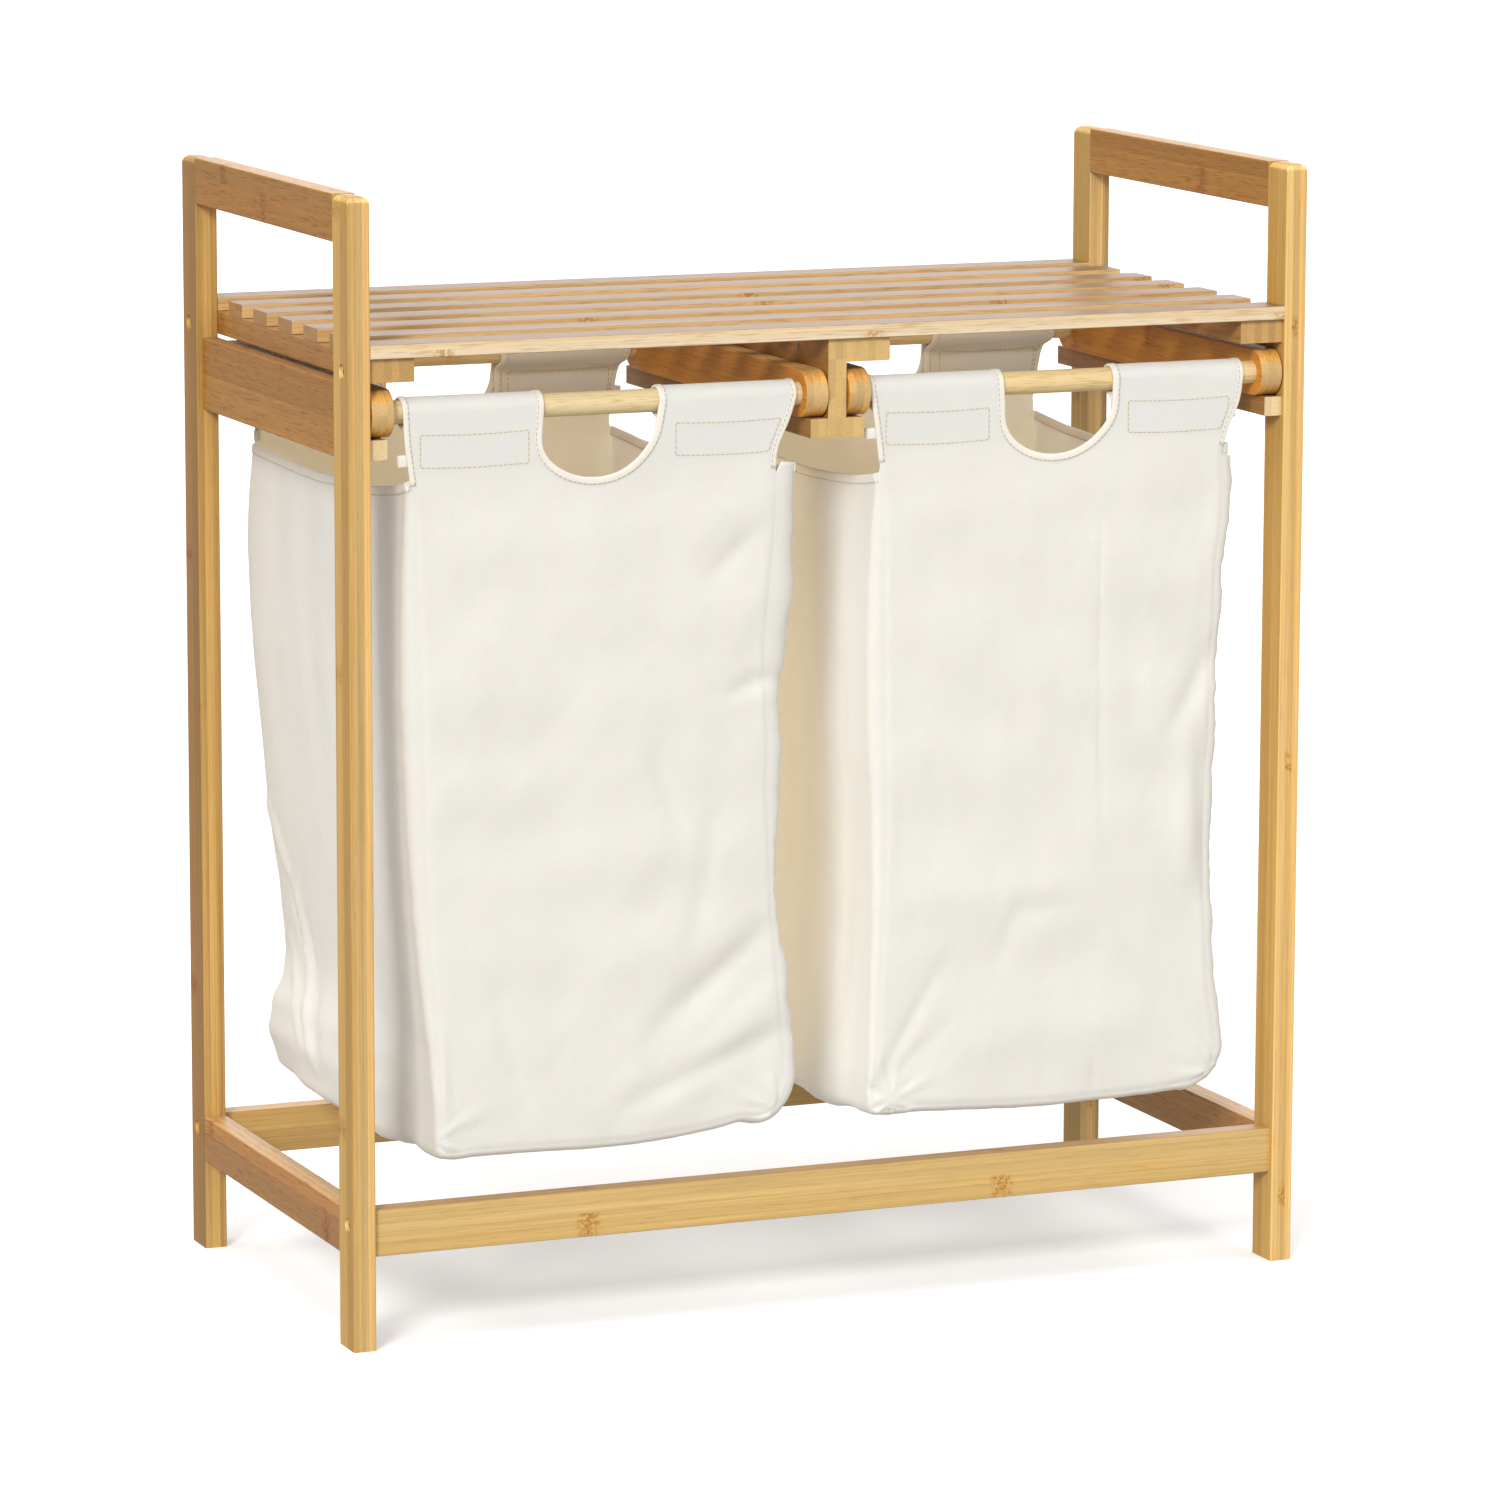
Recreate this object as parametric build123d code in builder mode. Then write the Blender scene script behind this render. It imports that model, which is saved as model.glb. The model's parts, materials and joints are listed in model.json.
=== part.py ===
from build123d import *
import os

os.makedirs("parts", exist_ok=True)

# Bamboo laundry sorter: X runs left to right, -Y is the front, Z is up.
# The origin is on the floor, under the middle of the stand. Millimetres.

# Overall size
WIDTH = 660.0
DEPTH = 325.0
HEIGHT = 730.0
EASE = 0.8              # eased long edges of every bamboo stick

# Posts and rails
POST_X = 15.0
POST_Y = 27.0
POST_TOP_ROUND = 5.0
RAIL_T = 15.0
RAIL_H = 30.0
LOW_RAIL_Z = 60.0
CROSS_RAIL_SETBACK = 4.0
TENON_T = 7.0
TENON_L = 10.0
TENON_FIT = 0.2

# Side boards and the ledges that carry the sliding frames
SIDE_BOARD_T = 11.0
SIDE_BOARD_H = 47.0
SIDE_BOARD_Z = 565.0
LEDGE_W = 12.0
LEDGE_H = 12.5
LEDGE_Z = 566.0
INNER_LENGTH = 318.0    # bearers, divider and ledges, a little short of the depth

# Shelf
SLAT_T = 9.0
SLAT_Z = 629.0
SLAT_COUNT = 7
BEARER_W = 30.0
BEARER_H = 15.0
DIVIDER_T = 12.5

# Sliding frames
BOARD_T = 15.0
BOARD_H = 30.5
FRAME_LENGTH = 315.0
FRAME_LIFT = 0.2        # running clearance above the ledges
SIDE_PLAY = 1.0
DOWEL_R = 7.5
SOCKET_DEPTH = 8.0

# Bags
BAG_W = 264.0
BAG_Z = 118.0
BAG_CORNER_R = 28.0
HEM_Z = 546.0
CLOTH = 1.6
SLEEVE_GAP = 0.3
CUTOUT_W = 78.0
CUTOUT_Z = 548.0
CUTOUT_RISE = 28.0
HOOK_W = 70.0
HOOK_H = 19.0
HOOK_T = 1.2
HOOK_Z = 560.0
FLAP_END_Z = 556.0
LEFT_BAG_X = -159.0
RIGHT_BAG_X = 156.5

# Fasteners
BOLT_R = 2.25
BOLT_HEAD_R = 4.75
BOLT_HEAD_H = 2.0
BOLT_SUNK = 4.5         # depth of the seat under the head
BOLT_L = 36.0
BOLT_Y = 151.0
BOLT_LOW_Z = 80.0
BOLT_HIGH_Z = 621.0
HOLE_PLAY = 0.2
WOOD_SCREW_R = 1.5
WOOD_SCREW_HEAD_R = 3.0
SLAT_SCREW_L = 20.0
DIVIDER_SCREW_L = 30.0
DIVIDER_SCREW_Y = (-110.5, 25.0, 110.5)
DIVIDER_SCREW_Z = 619.0

# Derived positions
INNER_X = WIDTH / 2 - POST_X
POST_CX = (WIDTH - POST_X) / 2
POST_CY = (DEPTH - POST_Y) / 2
SIDE_BOARD_CX = INNER_X + SIDE_BOARD_T / 2
BOLT_REACH = BOLT_SUNK + BOLT_L - POST_X + 1
SIDE_SPAN = DEPTH - 2 * POST_Y
CROSS_RAIL_CY = DEPTH / 2 - CROSS_RAIL_SETBACK - RAIL_T / 2
CENTRE_BEARER_X = (DIVIDER_T + BEARER_W) / 2
SIDE_BEARER_X = INNER_X - BEARER_W / 2
SLAT_PITCH = (DEPTH - POST_Y) / (SLAT_COUNT - 1)
SLAT_YS = [(i - (SLAT_COUNT - 1) / 2) * SLAT_PITCH for i in range(SLAT_COUNT)]
SLAT_SCREW_YS = [-140.0] + SLAT_YS[1:-1] + [140.0]
BOARD_Z = LEDGE_Z + LEDGE_H + FRAME_LIFT
AXIS_Z = BOARD_Z + BOARD_H / 2
FRONT_DOWEL_Y = -DEPTH / 2 + BOARD_H / 2
REAR_DOWEL_Y = -DEPTH / 2 + FRAME_LENGTH - BOARD_H / 2
BAG_MID_Y = (FRONT_DOWEL_Y + REAR_DOWEL_Y) / 2
FRAME_OUTER_X = INNER_X - SIDE_PLAY
FRAME_INNER_X = DIVIDER_T / 2 + SIDE_PLAY
FRAME_CX = (FRAME_OUTER_X + FRAME_INNER_X) / 2
FRAME_CLEAR = FRAME_OUTER_X - FRAME_INNER_X - 2 * BOARD_T
SLEEVE_R = DOWEL_R + SLEEVE_GAP + CLOTH / 2
PANEL_INNER = SLEEVE_R - CLOTH / 2
STRAP_W = (BAG_W - CUTOUT_W) / 2
STRAP_CX = (CUTOUT_W + STRAP_W) / 2


def save(part, label):
    part.label = label
    export_step(part, f"parts/{label}.step")


def build_post(label, side, end):
    """Post at one corner: side -1 left or +1 right, end -1 front or +1 rear."""
    inner_face = Plane((side * POST_CX, end * (POST_CY - POST_Y / 2), 0), x_dir=(1, 0, 0), z_dir=(0, end, 0))
    outer_face = Plane((side * WIDTH / 2, 0, 0), x_dir=(0, 1, 0), z_dir=(side, 0, 0))
    up = 1 if inner_face.y_dir.Z > 0 else -1
    out_up = 1 if outer_face.y_dir.Z > 0 else -1
    mortises = [
        (0, HEIGHT - RAIL_H / 2, RAIL_H - 12),
        (0, LOW_RAIL_Z + RAIL_H / 2, RAIL_H - 12),
        (side * (SIDE_BOARD_CX - POST_CX), SIDE_BOARD_Z + SIDE_BOARD_H / 2, SIDE_BOARD_H - 14),
    ]
    with BuildPart() as post:
        with BuildSketch(Plane.XY):
            with Locations((side * POST_CX, end * POST_CY)):
                Rectangle(POST_X, POST_Y)
        extrude(amount=HEIGHT)
        fillet(post.edges().filter_by(Axis.Z), EASE)
        crown = post.edges().filter_by(Axis.X).group_by(Axis.Z)[-1].sort_by(Axis.Y)
        fillet(crown[0] if end < 0 else crown[-1], POST_TOP_ROUND)
        with BuildSketch(inner_face):
            for x, z, height in mortises:
                with Locations((x, up * z)):
                    Rectangle(TENON_T + TENON_FIT, height + TENON_FIT)
        extrude(amount=TENON_L + TENON_FIT, mode=Mode.SUBTRACT)
        with BuildSketch(outer_face):
            with Locations(*[(end * BOLT_Y, out_up * z) for z in (BOLT_LOW_Z, BOLT_HIGH_Z)]):
                Circle(BOLT_R + HOLE_PLAY)
        extrude(amount=-POST_X, mode=Mode.SUBTRACT)
        with BuildSketch(outer_face):
            with Locations(*[(end * BOLT_Y, out_up * z) for z in (BOLT_LOW_Z, BOLT_HIGH_Z)]):
                Circle(BOLT_HEAD_R + HOLE_PLAY)
        extrude(amount=-BOLT_SUNK, mode=Mode.SUBTRACT)
    save(post.part, label)


def build_side_rail(label, x, z, thickness, height, tenon_height):
    """Stick from front post to rear post, with a tenon on each end."""
    with BuildPart() as rail:
        with BuildSketch(Plane.XZ.offset(-SIDE_SPAN / 2)):
            with Locations((x, z)):
                Rectangle(thickness, height)
        extrude(amount=SIDE_SPAN)
        fillet(rail.edges().filter_by(Axis.Y), EASE)
        with BuildSketch(Plane.XZ.offset(-SIDE_SPAN / 2 - TENON_L)):
            with Locations((x, z)):
                Rectangle(TENON_T, tenon_height)
        extrude(amount=SIDE_SPAN + 2 * TENON_L)
    save(rail.part, label)


def build_stick_y(label, x, z_low, width, height, screw_ys=(), bolt_side=0):
    """Plain stick along Y under the shelf, with its screw holes."""
    with BuildPart() as stick:
        with BuildSketch(Plane.XZ.offset(-INNER_LENGTH / 2)):
            with Locations((x, z_low + height / 2)):
                Rectangle(width, height)
        extrude(amount=INNER_LENGTH)
        fillet(stick.edges().filter_by(Axis.Y), EASE)
        if screw_ys:
            with Locations(*[Location((x, y, z_low), (180, 0, 0)) for y in screw_ys]):
                CounterSinkHole(
                    WOOD_SCREW_R + HOLE_PLAY, WOOD_SCREW_HEAD_R + HOLE_PLAY, height, counter_sink_angle=90
                )
        if bolt_side:
            with BuildSketch(Plane.YZ.offset(bolt_side * INNER_X)):
                with Locations(*[(y, BOLT_HIGH_Z) for y in (-BOLT_Y, BOLT_Y)]):
                    Circle(BOLT_R + HOLE_PLAY)
            extrude(amount=-bolt_side * BOLT_REACH, mode=Mode.SUBTRACT)
        if x == CENTRE_BEARER_X:
            with BuildSketch(Plane.YZ.offset(x - width / 2)):
                with Locations(*[(y, DIVIDER_SCREW_Z) for y in DIVIDER_SCREW_Y]):
                    Circle(WOOD_SCREW_R + HOLE_PLAY)
            extrude(amount=DIVIDER_SCREW_L - DIVIDER_T + 1, mode=Mode.SUBTRACT)
    save(stick.part, label)


def build_cross_rail(label, end):
    """Low rail between two posts, held by a bolt in each end."""
    with BuildPart() as rail:
        with BuildSketch(Plane.YZ.offset(-INNER_X)):
            with Locations((end * CROSS_RAIL_CY, LOW_RAIL_Z + RAIL_H / 2)):
                Rectangle(RAIL_T, RAIL_H)
        extrude(amount=2 * INNER_X)
        fillet(rail.edges().filter_by(Axis.X), EASE)
        for side in (-1, 1):
            with BuildSketch(Plane.YZ.offset(side * INNER_X)):
                with Locations((end * BOLT_Y, BOLT_LOW_Z)):
                    Circle(BOLT_R + HOLE_PLAY)
            extrude(amount=-side * BOLT_REACH, mode=Mode.SUBTRACT)
    save(rail.part, label)


def build_slat(label, y, screw_y):
    """Shelf slat between the inner faces of the posts."""
    with BuildPart() as slat:
        with BuildSketch(Plane.YZ.offset(-INNER_X)):
            with Locations((y, SLAT_Z + SLAT_T / 2)):
                Rectangle(POST_Y, SLAT_T)
        extrude(amount=2 * INNER_X)
        fillet(slat.edges().filter_by(Axis.X), EASE)
        with BuildSketch(Plane.XY.offset(SLAT_Z)):
            with Locations(*[(x, screw_y) for x in (-SIDE_BEARER_X, CENTRE_BEARER_X, SIDE_BEARER_X)]):
                Circle(WOOD_SCREW_R + HOLE_PLAY)
        extrude(amount=SLAT_SCREW_L - BEARER_H + 1, mode=Mode.SUBTRACT)
    save(slat.part, label)


def build_divider():
    """Upright board under the shelf, screwed sideways into the centre bearer."""
    with BuildPart() as divider:
        with BuildSketch(Plane.XZ.offset(-INNER_LENGTH / 2)):
            with Locations((0, (LEDGE_Z + SLAT_Z) / 2)):
                Rectangle(DIVIDER_T, SLAT_Z - LEDGE_Z)
        extrude(amount=INNER_LENGTH)
        fillet(divider.edges().filter_by(Axis.Y), EASE)
        with Locations(*[Location((-DIVIDER_T / 2, y, DIVIDER_SCREW_Z), (0, -90, 0)) for y in DIVIDER_SCREW_Y]):
            CounterSinkHole(
                WOOD_SCREW_R + HOLE_PLAY, WOOD_SCREW_HEAD_R + HOLE_PLAY, DIVIDER_T, counter_sink_angle=90
            )
    save(divider.part, "centre_divider")


def build_frame_board(label, x, socket_side):
    """Sliding board with half-round ends; socket_side is where the dowels enter."""
    with BuildPart() as board:
        with BuildSketch(Plane.YZ.offset(x - BOARD_T / 2)):
            with Locations(((FRONT_DOWEL_Y + REAR_DOWEL_Y) / 2, AXIS_Z)):
                SlotCenterToCenter(REAR_DOWEL_Y - FRONT_DOWEL_Y, BOARD_H)
        extrude(amount=BOARD_T)
        fillet(board.faces().filter_by(Axis.X).edges(), EASE)
        with BuildSketch(Plane.YZ.offset(x + socket_side * BOARD_T / 2)):
            with Locations(*[(y, AXIS_Z) for y in (FRONT_DOWEL_Y, REAR_DOWEL_Y)]):
                Circle(DOWEL_R + 0.1)
        extrude(amount=-socket_side * SOCKET_DEPTH, mode=Mode.SUBTRACT)
    save(board.part, label)


def build_dowel(label, cx, y):
    """Round bar between the two boards of a sliding frame."""
    length = FRAME_CLEAR + 2 * SOCKET_DEPTH
    with BuildPart() as dowel:
        with BuildSketch(Plane.YZ.offset(cx - length / 2)):
            with Locations((y, AXIS_Z)):
                Circle(DOWEL_R)
        extrude(amount=length)
    save(dowel.part, label)


def build_bag(prefix, cx):
    """Cotton bag: two panels with sleeves on the dowels, one gusset, hook strips in the sleeves."""
    panel_face = Plane.XZ.offset(-FRONT_DOWEL_Y + PANEL_INNER)
    flap_y = FRONT_DOWEL_Y - SLEEVE_R + CLOTH + HOOK_T
    with BuildPart() as front:
        with BuildSketch(panel_face):
            with Locations((cx, (BAG_Z + AXIS_Z) / 2)):
                panel = Rectangle(BAG_W, AXIS_Z - BAG_Z)
            fillet(panel.vertices().group_by(Axis.Z)[0], BAG_CORNER_R)
            with Locations((cx, (CUTOUT_Z + CUTOUT_RISE + AXIS_Z) / 2)):
                Rectangle(CUTOUT_W, AXIS_Z - CUTOUT_Z - CUTOUT_RISE, mode=Mode.SUBTRACT)
            with Locations((cx, CUTOUT_Z + CUTOUT_RISE)):
                Ellipse(CUTOUT_W / 2, CUTOUT_RISE, mode=Mode.SUBTRACT)
        extrude(amount=CLOTH)
        for side in (-1, 1):
            with BuildSketch(Plane.YZ.offset(cx + side * STRAP_CX - STRAP_W / 2)):
                with BuildLine():
                    over = CenterArc((FRONT_DOWEL_Y, AXIS_Z), SLEEVE_R, 180, -237.7)
                    Polyline(over @ 1, (flap_y, HOOK_Z + HOOK_H + 1), (flap_y, FLAP_END_Z))
                    offset(amount=CLOTH / 2, side=Side.BOTH, kind=Kind.INTERSECTION)
                make_face()
            extrude(amount=STRAP_W)
    save(front.part, f"{prefix}_bag_front_panel")

    with BuildPart() as rear:
        mirror(front.part, about=Plane.XZ.offset(-BAG_MID_Y))
    save(rear.part, f"{prefix}_bag_rear_panel")

    front_inside = FRONT_DOWEL_Y - PANEL_INNER
    rear_inside = REAR_DOWEL_Y + PANEL_INNER
    with BuildPart() as gusset:
        for margin, mode in ((0, Mode.ADD), (CLOTH, Mode.SUBTRACT)):
            with BuildSketch(Plane.XZ.offset(-rear_inside)):
                with Locations((cx, (BAG_Z + HEM_Z) / 2 + margin)):
                    outline = Rectangle(BAG_W - 2 * margin, HEM_Z - BAG_Z)
                fillet(outline.vertices().group_by(Axis.Z)[0], BAG_CORNER_R - margin)
            extrude(amount=rear_inside - front_inside, mode=mode)
    save(gusset.part, f"{prefix}_bag_gusset")

    with BuildPart() as hooks:
        for y in (front_inside + HOOK_T / 2, rear_inside - HOOK_T / 2):
            with BuildSketch(Plane.XZ.offset(-y - HOOK_T / 2)):
                with Locations(*[(cx + side * STRAP_CX, HOOK_Z + HOOK_H / 2) for side in (-1, 1)]):
                    Rectangle(HOOK_W, HOOK_H)
            extrude(amount=HOOK_T)
    save(hooks.part, f"{prefix}_bag_hook_strips")


def build_frame_bolts():
    """Eight domed hex-socket bolts sunk in the posts: four low, four high."""
    with BuildPart() as bolts:
        for side in (-1, 1):
            seat_x = side * (WIDTH / 2 - BOLT_SUNK)
            outward = Plane((seat_x, 0, 0), x_dir=(0, 1, 0), z_dir=(side, 0, 0))
            up = 1 if outward.y_dir.Z > 0 else -1
            spots = [(y, up * z) for y in (-BOLT_Y, BOLT_Y) for z in (BOLT_LOW_Z, BOLT_HIGH_Z)]
            with BuildSketch(outward):
                with Locations(*spots):
                    Circle(BOLT_HEAD_R)
            extrude(amount=BOLT_HEAD_H)
            crowns = bolts.faces().filter_by(Axis.X).group_by(Axis.X)[-1 if side > 0 else 0]
            fillet(crowns.edges(), 1.2)
            with BuildSketch(outward):
                with Locations(*spots):
                    Circle(BOLT_R)
            extrude(amount=-BOLT_L)
            with BuildSketch(outward.offset(BOLT_HEAD_H)):
                with Locations(*spots):
                    RegularPolygon(2.3, 6)
            extrude(amount=-1.5, mode=Mode.SUBTRACT)
    save(bolts.part, "frame_bolts")


def build_wood_screws(label, heads, tilt, length):
    """Countersunk wood screws, all alike; heads are the centres of the flat head tops."""
    cone = WOOD_SCREW_HEAD_R - WOOD_SCREW_R
    with BuildPart() as screws:
        with BuildSketch(Plane.XZ):
            with BuildLine():
                Polyline(
                    (0, 0),
                    (WOOD_SCREW_HEAD_R, 0),
                    (WOOD_SCREW_R, cone),
                    (WOOD_SCREW_R, length - 3),
                    (0, length),
                    close=True,
                )
            make_face()
        revolve(axis=Axis.Z)
    with BuildPart() as row:
        for head in heads:
            add(Location(head, tilt) * screws.part)
    save(row.part, label)


for side, side_name in ((-1, "left"), (1, "right")):
    for end, end_name in ((-1, "front"), (1, "rear")):
        build_post(f"{side_name}_{end_name}_post", side, end)
    build_side_rail(f"{side_name}_handle_rail", side * POST_CX, HEIGHT - RAIL_H / 2, RAIL_T, RAIL_H, RAIL_H - 12)
    build_side_rail(
        f"{side_name}_bottom_rail", side * POST_CX, LOW_RAIL_Z + RAIL_H / 2, RAIL_T, RAIL_H, RAIL_H - 12
    )
    build_side_rail(
        f"{side_name}_side_board",
        side * SIDE_BOARD_CX,
        SIDE_BOARD_Z + SIDE_BOARD_H / 2,
        SIDE_BOARD_T,
        SIDE_BOARD_H,
        SIDE_BOARD_H - 14,
    )
    build_stick_y(f"{side_name}_ledge", side * (INNER_X - LEDGE_W / 2), LEDGE_Z, LEDGE_W, LEDGE_H)
    build_stick_y(
        f"{side_name}_bearer", side * SIDE_BEARER_X, SLAT_Z - BEARER_H, BEARER_W, BEARER_H, SLAT_SCREW_YS, side
    )
    build_stick_y(
        f"centre_ledge_{side_name}", side * (DIVIDER_T / 2 + LEDGE_W / 2), LEDGE_Z, LEDGE_W, LEDGE_H
    )
    frame_cx = side * FRAME_CX
    for inward, name in ((side, "outer"), (-side, "inner")):
        board_x = frame_cx + inward * (FRAME_CLEAR + BOARD_T) / 2
        build_frame_board(f"{side_name}_frame_{name}_board", board_x, -inward)
    build_dowel(f"{side_name}_frame_front_dowel", frame_cx, FRONT_DOWEL_Y)
    build_dowel(f"{side_name}_frame_rear_dowel", frame_cx, REAR_DOWEL_Y)

build_cross_rail("front_bottom_rail", -1)
build_cross_rail("rear_bottom_rail", 1)
build_stick_y("centre_bearer", CENTRE_BEARER_X, SLAT_Z - BEARER_H, BEARER_W, BEARER_H, SLAT_SCREW_YS)
build_divider()

for number, (slat_y, screw_y) in enumerate(zip(SLAT_YS, SLAT_SCREW_YS), start=1):
    build_slat(f"shelf_slat_{number}", slat_y, screw_y)

build_bag("left", LEFT_BAG_X)
build_bag("right", RIGHT_BAG_X)

build_frame_bolts()
build_wood_screws(
    "slat_screws",
    [
        (x, y, SLAT_Z - BEARER_H)
        for x in (-SIDE_BEARER_X, CENTRE_BEARER_X, SIDE_BEARER_X)
        for y in SLAT_SCREW_YS
    ],
    (0, 0, 0),
    SLAT_SCREW_L,
)
build_wood_screws(
    "divider_screws",
    [(-DIVIDER_T / 2, y, DIVIDER_SCREW_Z) for y in DIVIDER_SCREW_Y],
    (0, 90, 0),
    DIVIDER_SCREW_L,
)
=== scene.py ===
import json
import math

import bmesh
import bpy
import numpy as np
from mathutils import Matrix, Vector

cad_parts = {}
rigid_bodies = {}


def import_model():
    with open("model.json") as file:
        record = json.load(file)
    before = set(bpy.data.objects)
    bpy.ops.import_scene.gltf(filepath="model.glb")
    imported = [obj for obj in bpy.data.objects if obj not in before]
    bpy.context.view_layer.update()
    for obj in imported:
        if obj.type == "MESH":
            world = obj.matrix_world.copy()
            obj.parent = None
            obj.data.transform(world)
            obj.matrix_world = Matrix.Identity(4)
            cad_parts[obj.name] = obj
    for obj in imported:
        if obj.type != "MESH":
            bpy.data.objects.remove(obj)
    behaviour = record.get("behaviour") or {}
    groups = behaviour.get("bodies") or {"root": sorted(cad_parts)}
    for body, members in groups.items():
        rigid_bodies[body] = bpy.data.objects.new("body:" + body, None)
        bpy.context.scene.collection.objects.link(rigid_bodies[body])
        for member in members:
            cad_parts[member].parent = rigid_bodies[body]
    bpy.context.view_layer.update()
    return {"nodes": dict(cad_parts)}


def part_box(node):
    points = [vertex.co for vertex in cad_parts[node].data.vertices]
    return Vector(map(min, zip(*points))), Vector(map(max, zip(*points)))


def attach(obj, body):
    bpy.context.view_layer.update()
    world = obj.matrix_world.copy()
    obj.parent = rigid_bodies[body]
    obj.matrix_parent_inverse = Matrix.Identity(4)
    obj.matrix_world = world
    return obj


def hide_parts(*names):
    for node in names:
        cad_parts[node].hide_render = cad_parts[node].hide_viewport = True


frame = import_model()
MM = 0.001


# -------------------- shader helpers

def linear(rgb):
    """Linear colour of an sRGB triple from 0 to 255."""
    out = []
    for c in rgb:
        c /= 255
        out.append(c / 12.92 if c <= 0.04045 else ((c + 0.055) / 1.055) ** 2.4)
    return (*out, 1.0)


class Shader:
    """A node material being put together around one Principled shader."""

    def __init__(self, name):
        self.material = bpy.data.materials.new(name)
        self.material.use_nodes = True
        self.tree = self.material.node_tree
        self.tree.nodes.clear()
        self.output = self.node("ShaderNodeOutputMaterial")
        self.surface = self.node("ShaderNodeBsdfPrincipled")
        self.tree.links.new(self.surface.outputs[0], self.output.inputs[0])
        place = self.node("ShaderNodeTexCoord")
        self.where, self.normal = place.outputs["Object"], place.outputs["Normal"]

    def node(self, kind, **settings):
        made = self.tree.nodes.new(kind)
        for key, value in settings.items():
            setattr(made, key, value)
        return made

    def put(self, socket, value):
        if isinstance(value, bpy.types.NodeSocket):
            self.tree.links.new(value, socket)
        elif value is not None:
            socket.default_value = value

    def calc(self, operation, a, b=None, c=None):
        made = self.node("ShaderNodeMath", operation=operation)
        for socket, value in zip(made.inputs, (a, b, c)):
            self.put(socket, value)
        return made.outputs[0]

    def mul(self, a, b):
        return self.calc("MULTIPLY", a, b)

    def add(self, a, b):
        return self.calc("ADD", a, b)

    def sub(self, a, b):
        return self.calc("SUBTRACT", a, b)

    def split(self, vector):
        made = self.node("ShaderNodeSeparateXYZ")
        self.put(made.inputs[0], vector)
        return made.outputs[:]

    def join(self, x, y, z):
        made = self.node("ShaderNodeCombineXYZ")
        for socket, value in zip(made.inputs, (x, y, z)):
            self.put(socket, value)
        return made.outputs[0]

    def noise(self, vector, scale=1.0, detail=2.0, roughness=0.5):
        made = self.node("ShaderNodeTexNoise", noise_dimensions="3D")
        self.put(made.inputs["Vector"], vector)
        made.inputs["Scale"].default_value = scale
        made.inputs["Detail"].default_value = detail
        made.inputs["Roughness"].default_value = roughness
        return made.outputs["Fac"]

    def hashed(self, vector):
        made = self.node("ShaderNodeTexWhiteNoise", noise_dimensions="3D")
        self.put(made.inputs["Vector"], vector)
        return self.split(made.outputs["Color"])

    def step(self, value, low, high):
        """0 below low, 1 above high, smooth between. low may be above high."""
        made = self.node("ShaderNodeMapRange", interpolation_type="SMOOTHSTEP")
        flip = low > high
        self.put(made.inputs["Value"], value)
        made.inputs["From Min"].default_value = min(low, high)
        made.inputs["From Max"].default_value = max(low, high)
        made.inputs["To Min"].default_value = 1.0 if flip else 0.0
        made.inputs["To Max"].default_value = 0.0 if flip else 1.0
        return made.outputs[0]

    def mix(self, factor, a, b, blend="MIX"):
        made = self.node("ShaderNodeMix", data_type="RGBA", blend_type=blend)
        self.put(made.inputs[0], factor)
        self.put(made.inputs[6], a)
        self.put(made.inputs[7], b)
        return made.outputs[2]

    def times(self, colour, tint):
        return self.mix(1.0, colour, tint, "MULTIPLY")

    def stain(self, factor, colour, tint):
        """Multiplies the colour by a tint where the factor is 1."""
        return self.mix(factor, colour, self.times(colour, tint))

    def bump(self, height, distance, strength):
        made = self.node("ShaderNodeBump")
        made.inputs["Strength"].default_value = strength
        made.inputs["Distance"].default_value = distance
        self.put(made.inputs["Height"], height)
        return made.outputs[0]

    def finish(self, colour, roughness, normal=None, **constants):
        self.put(self.surface.inputs["Base Color"], colour)
        self.put(self.surface.inputs["Roughness"], roughness)
        if normal is not None:
            self.put(self.surface.inputs["Normal"], normal)
        for key, value in constants.items():
            self.surface.inputs[key.replace("_", " ")].default_value = value
        return self.material


# -------------------- bamboo

AXES = {"X": 0, "Y": 1, "Z": 2}
KNUCKLE_PITCH = 0.29
KNUCKLE_HALF = 0.0055


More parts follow.
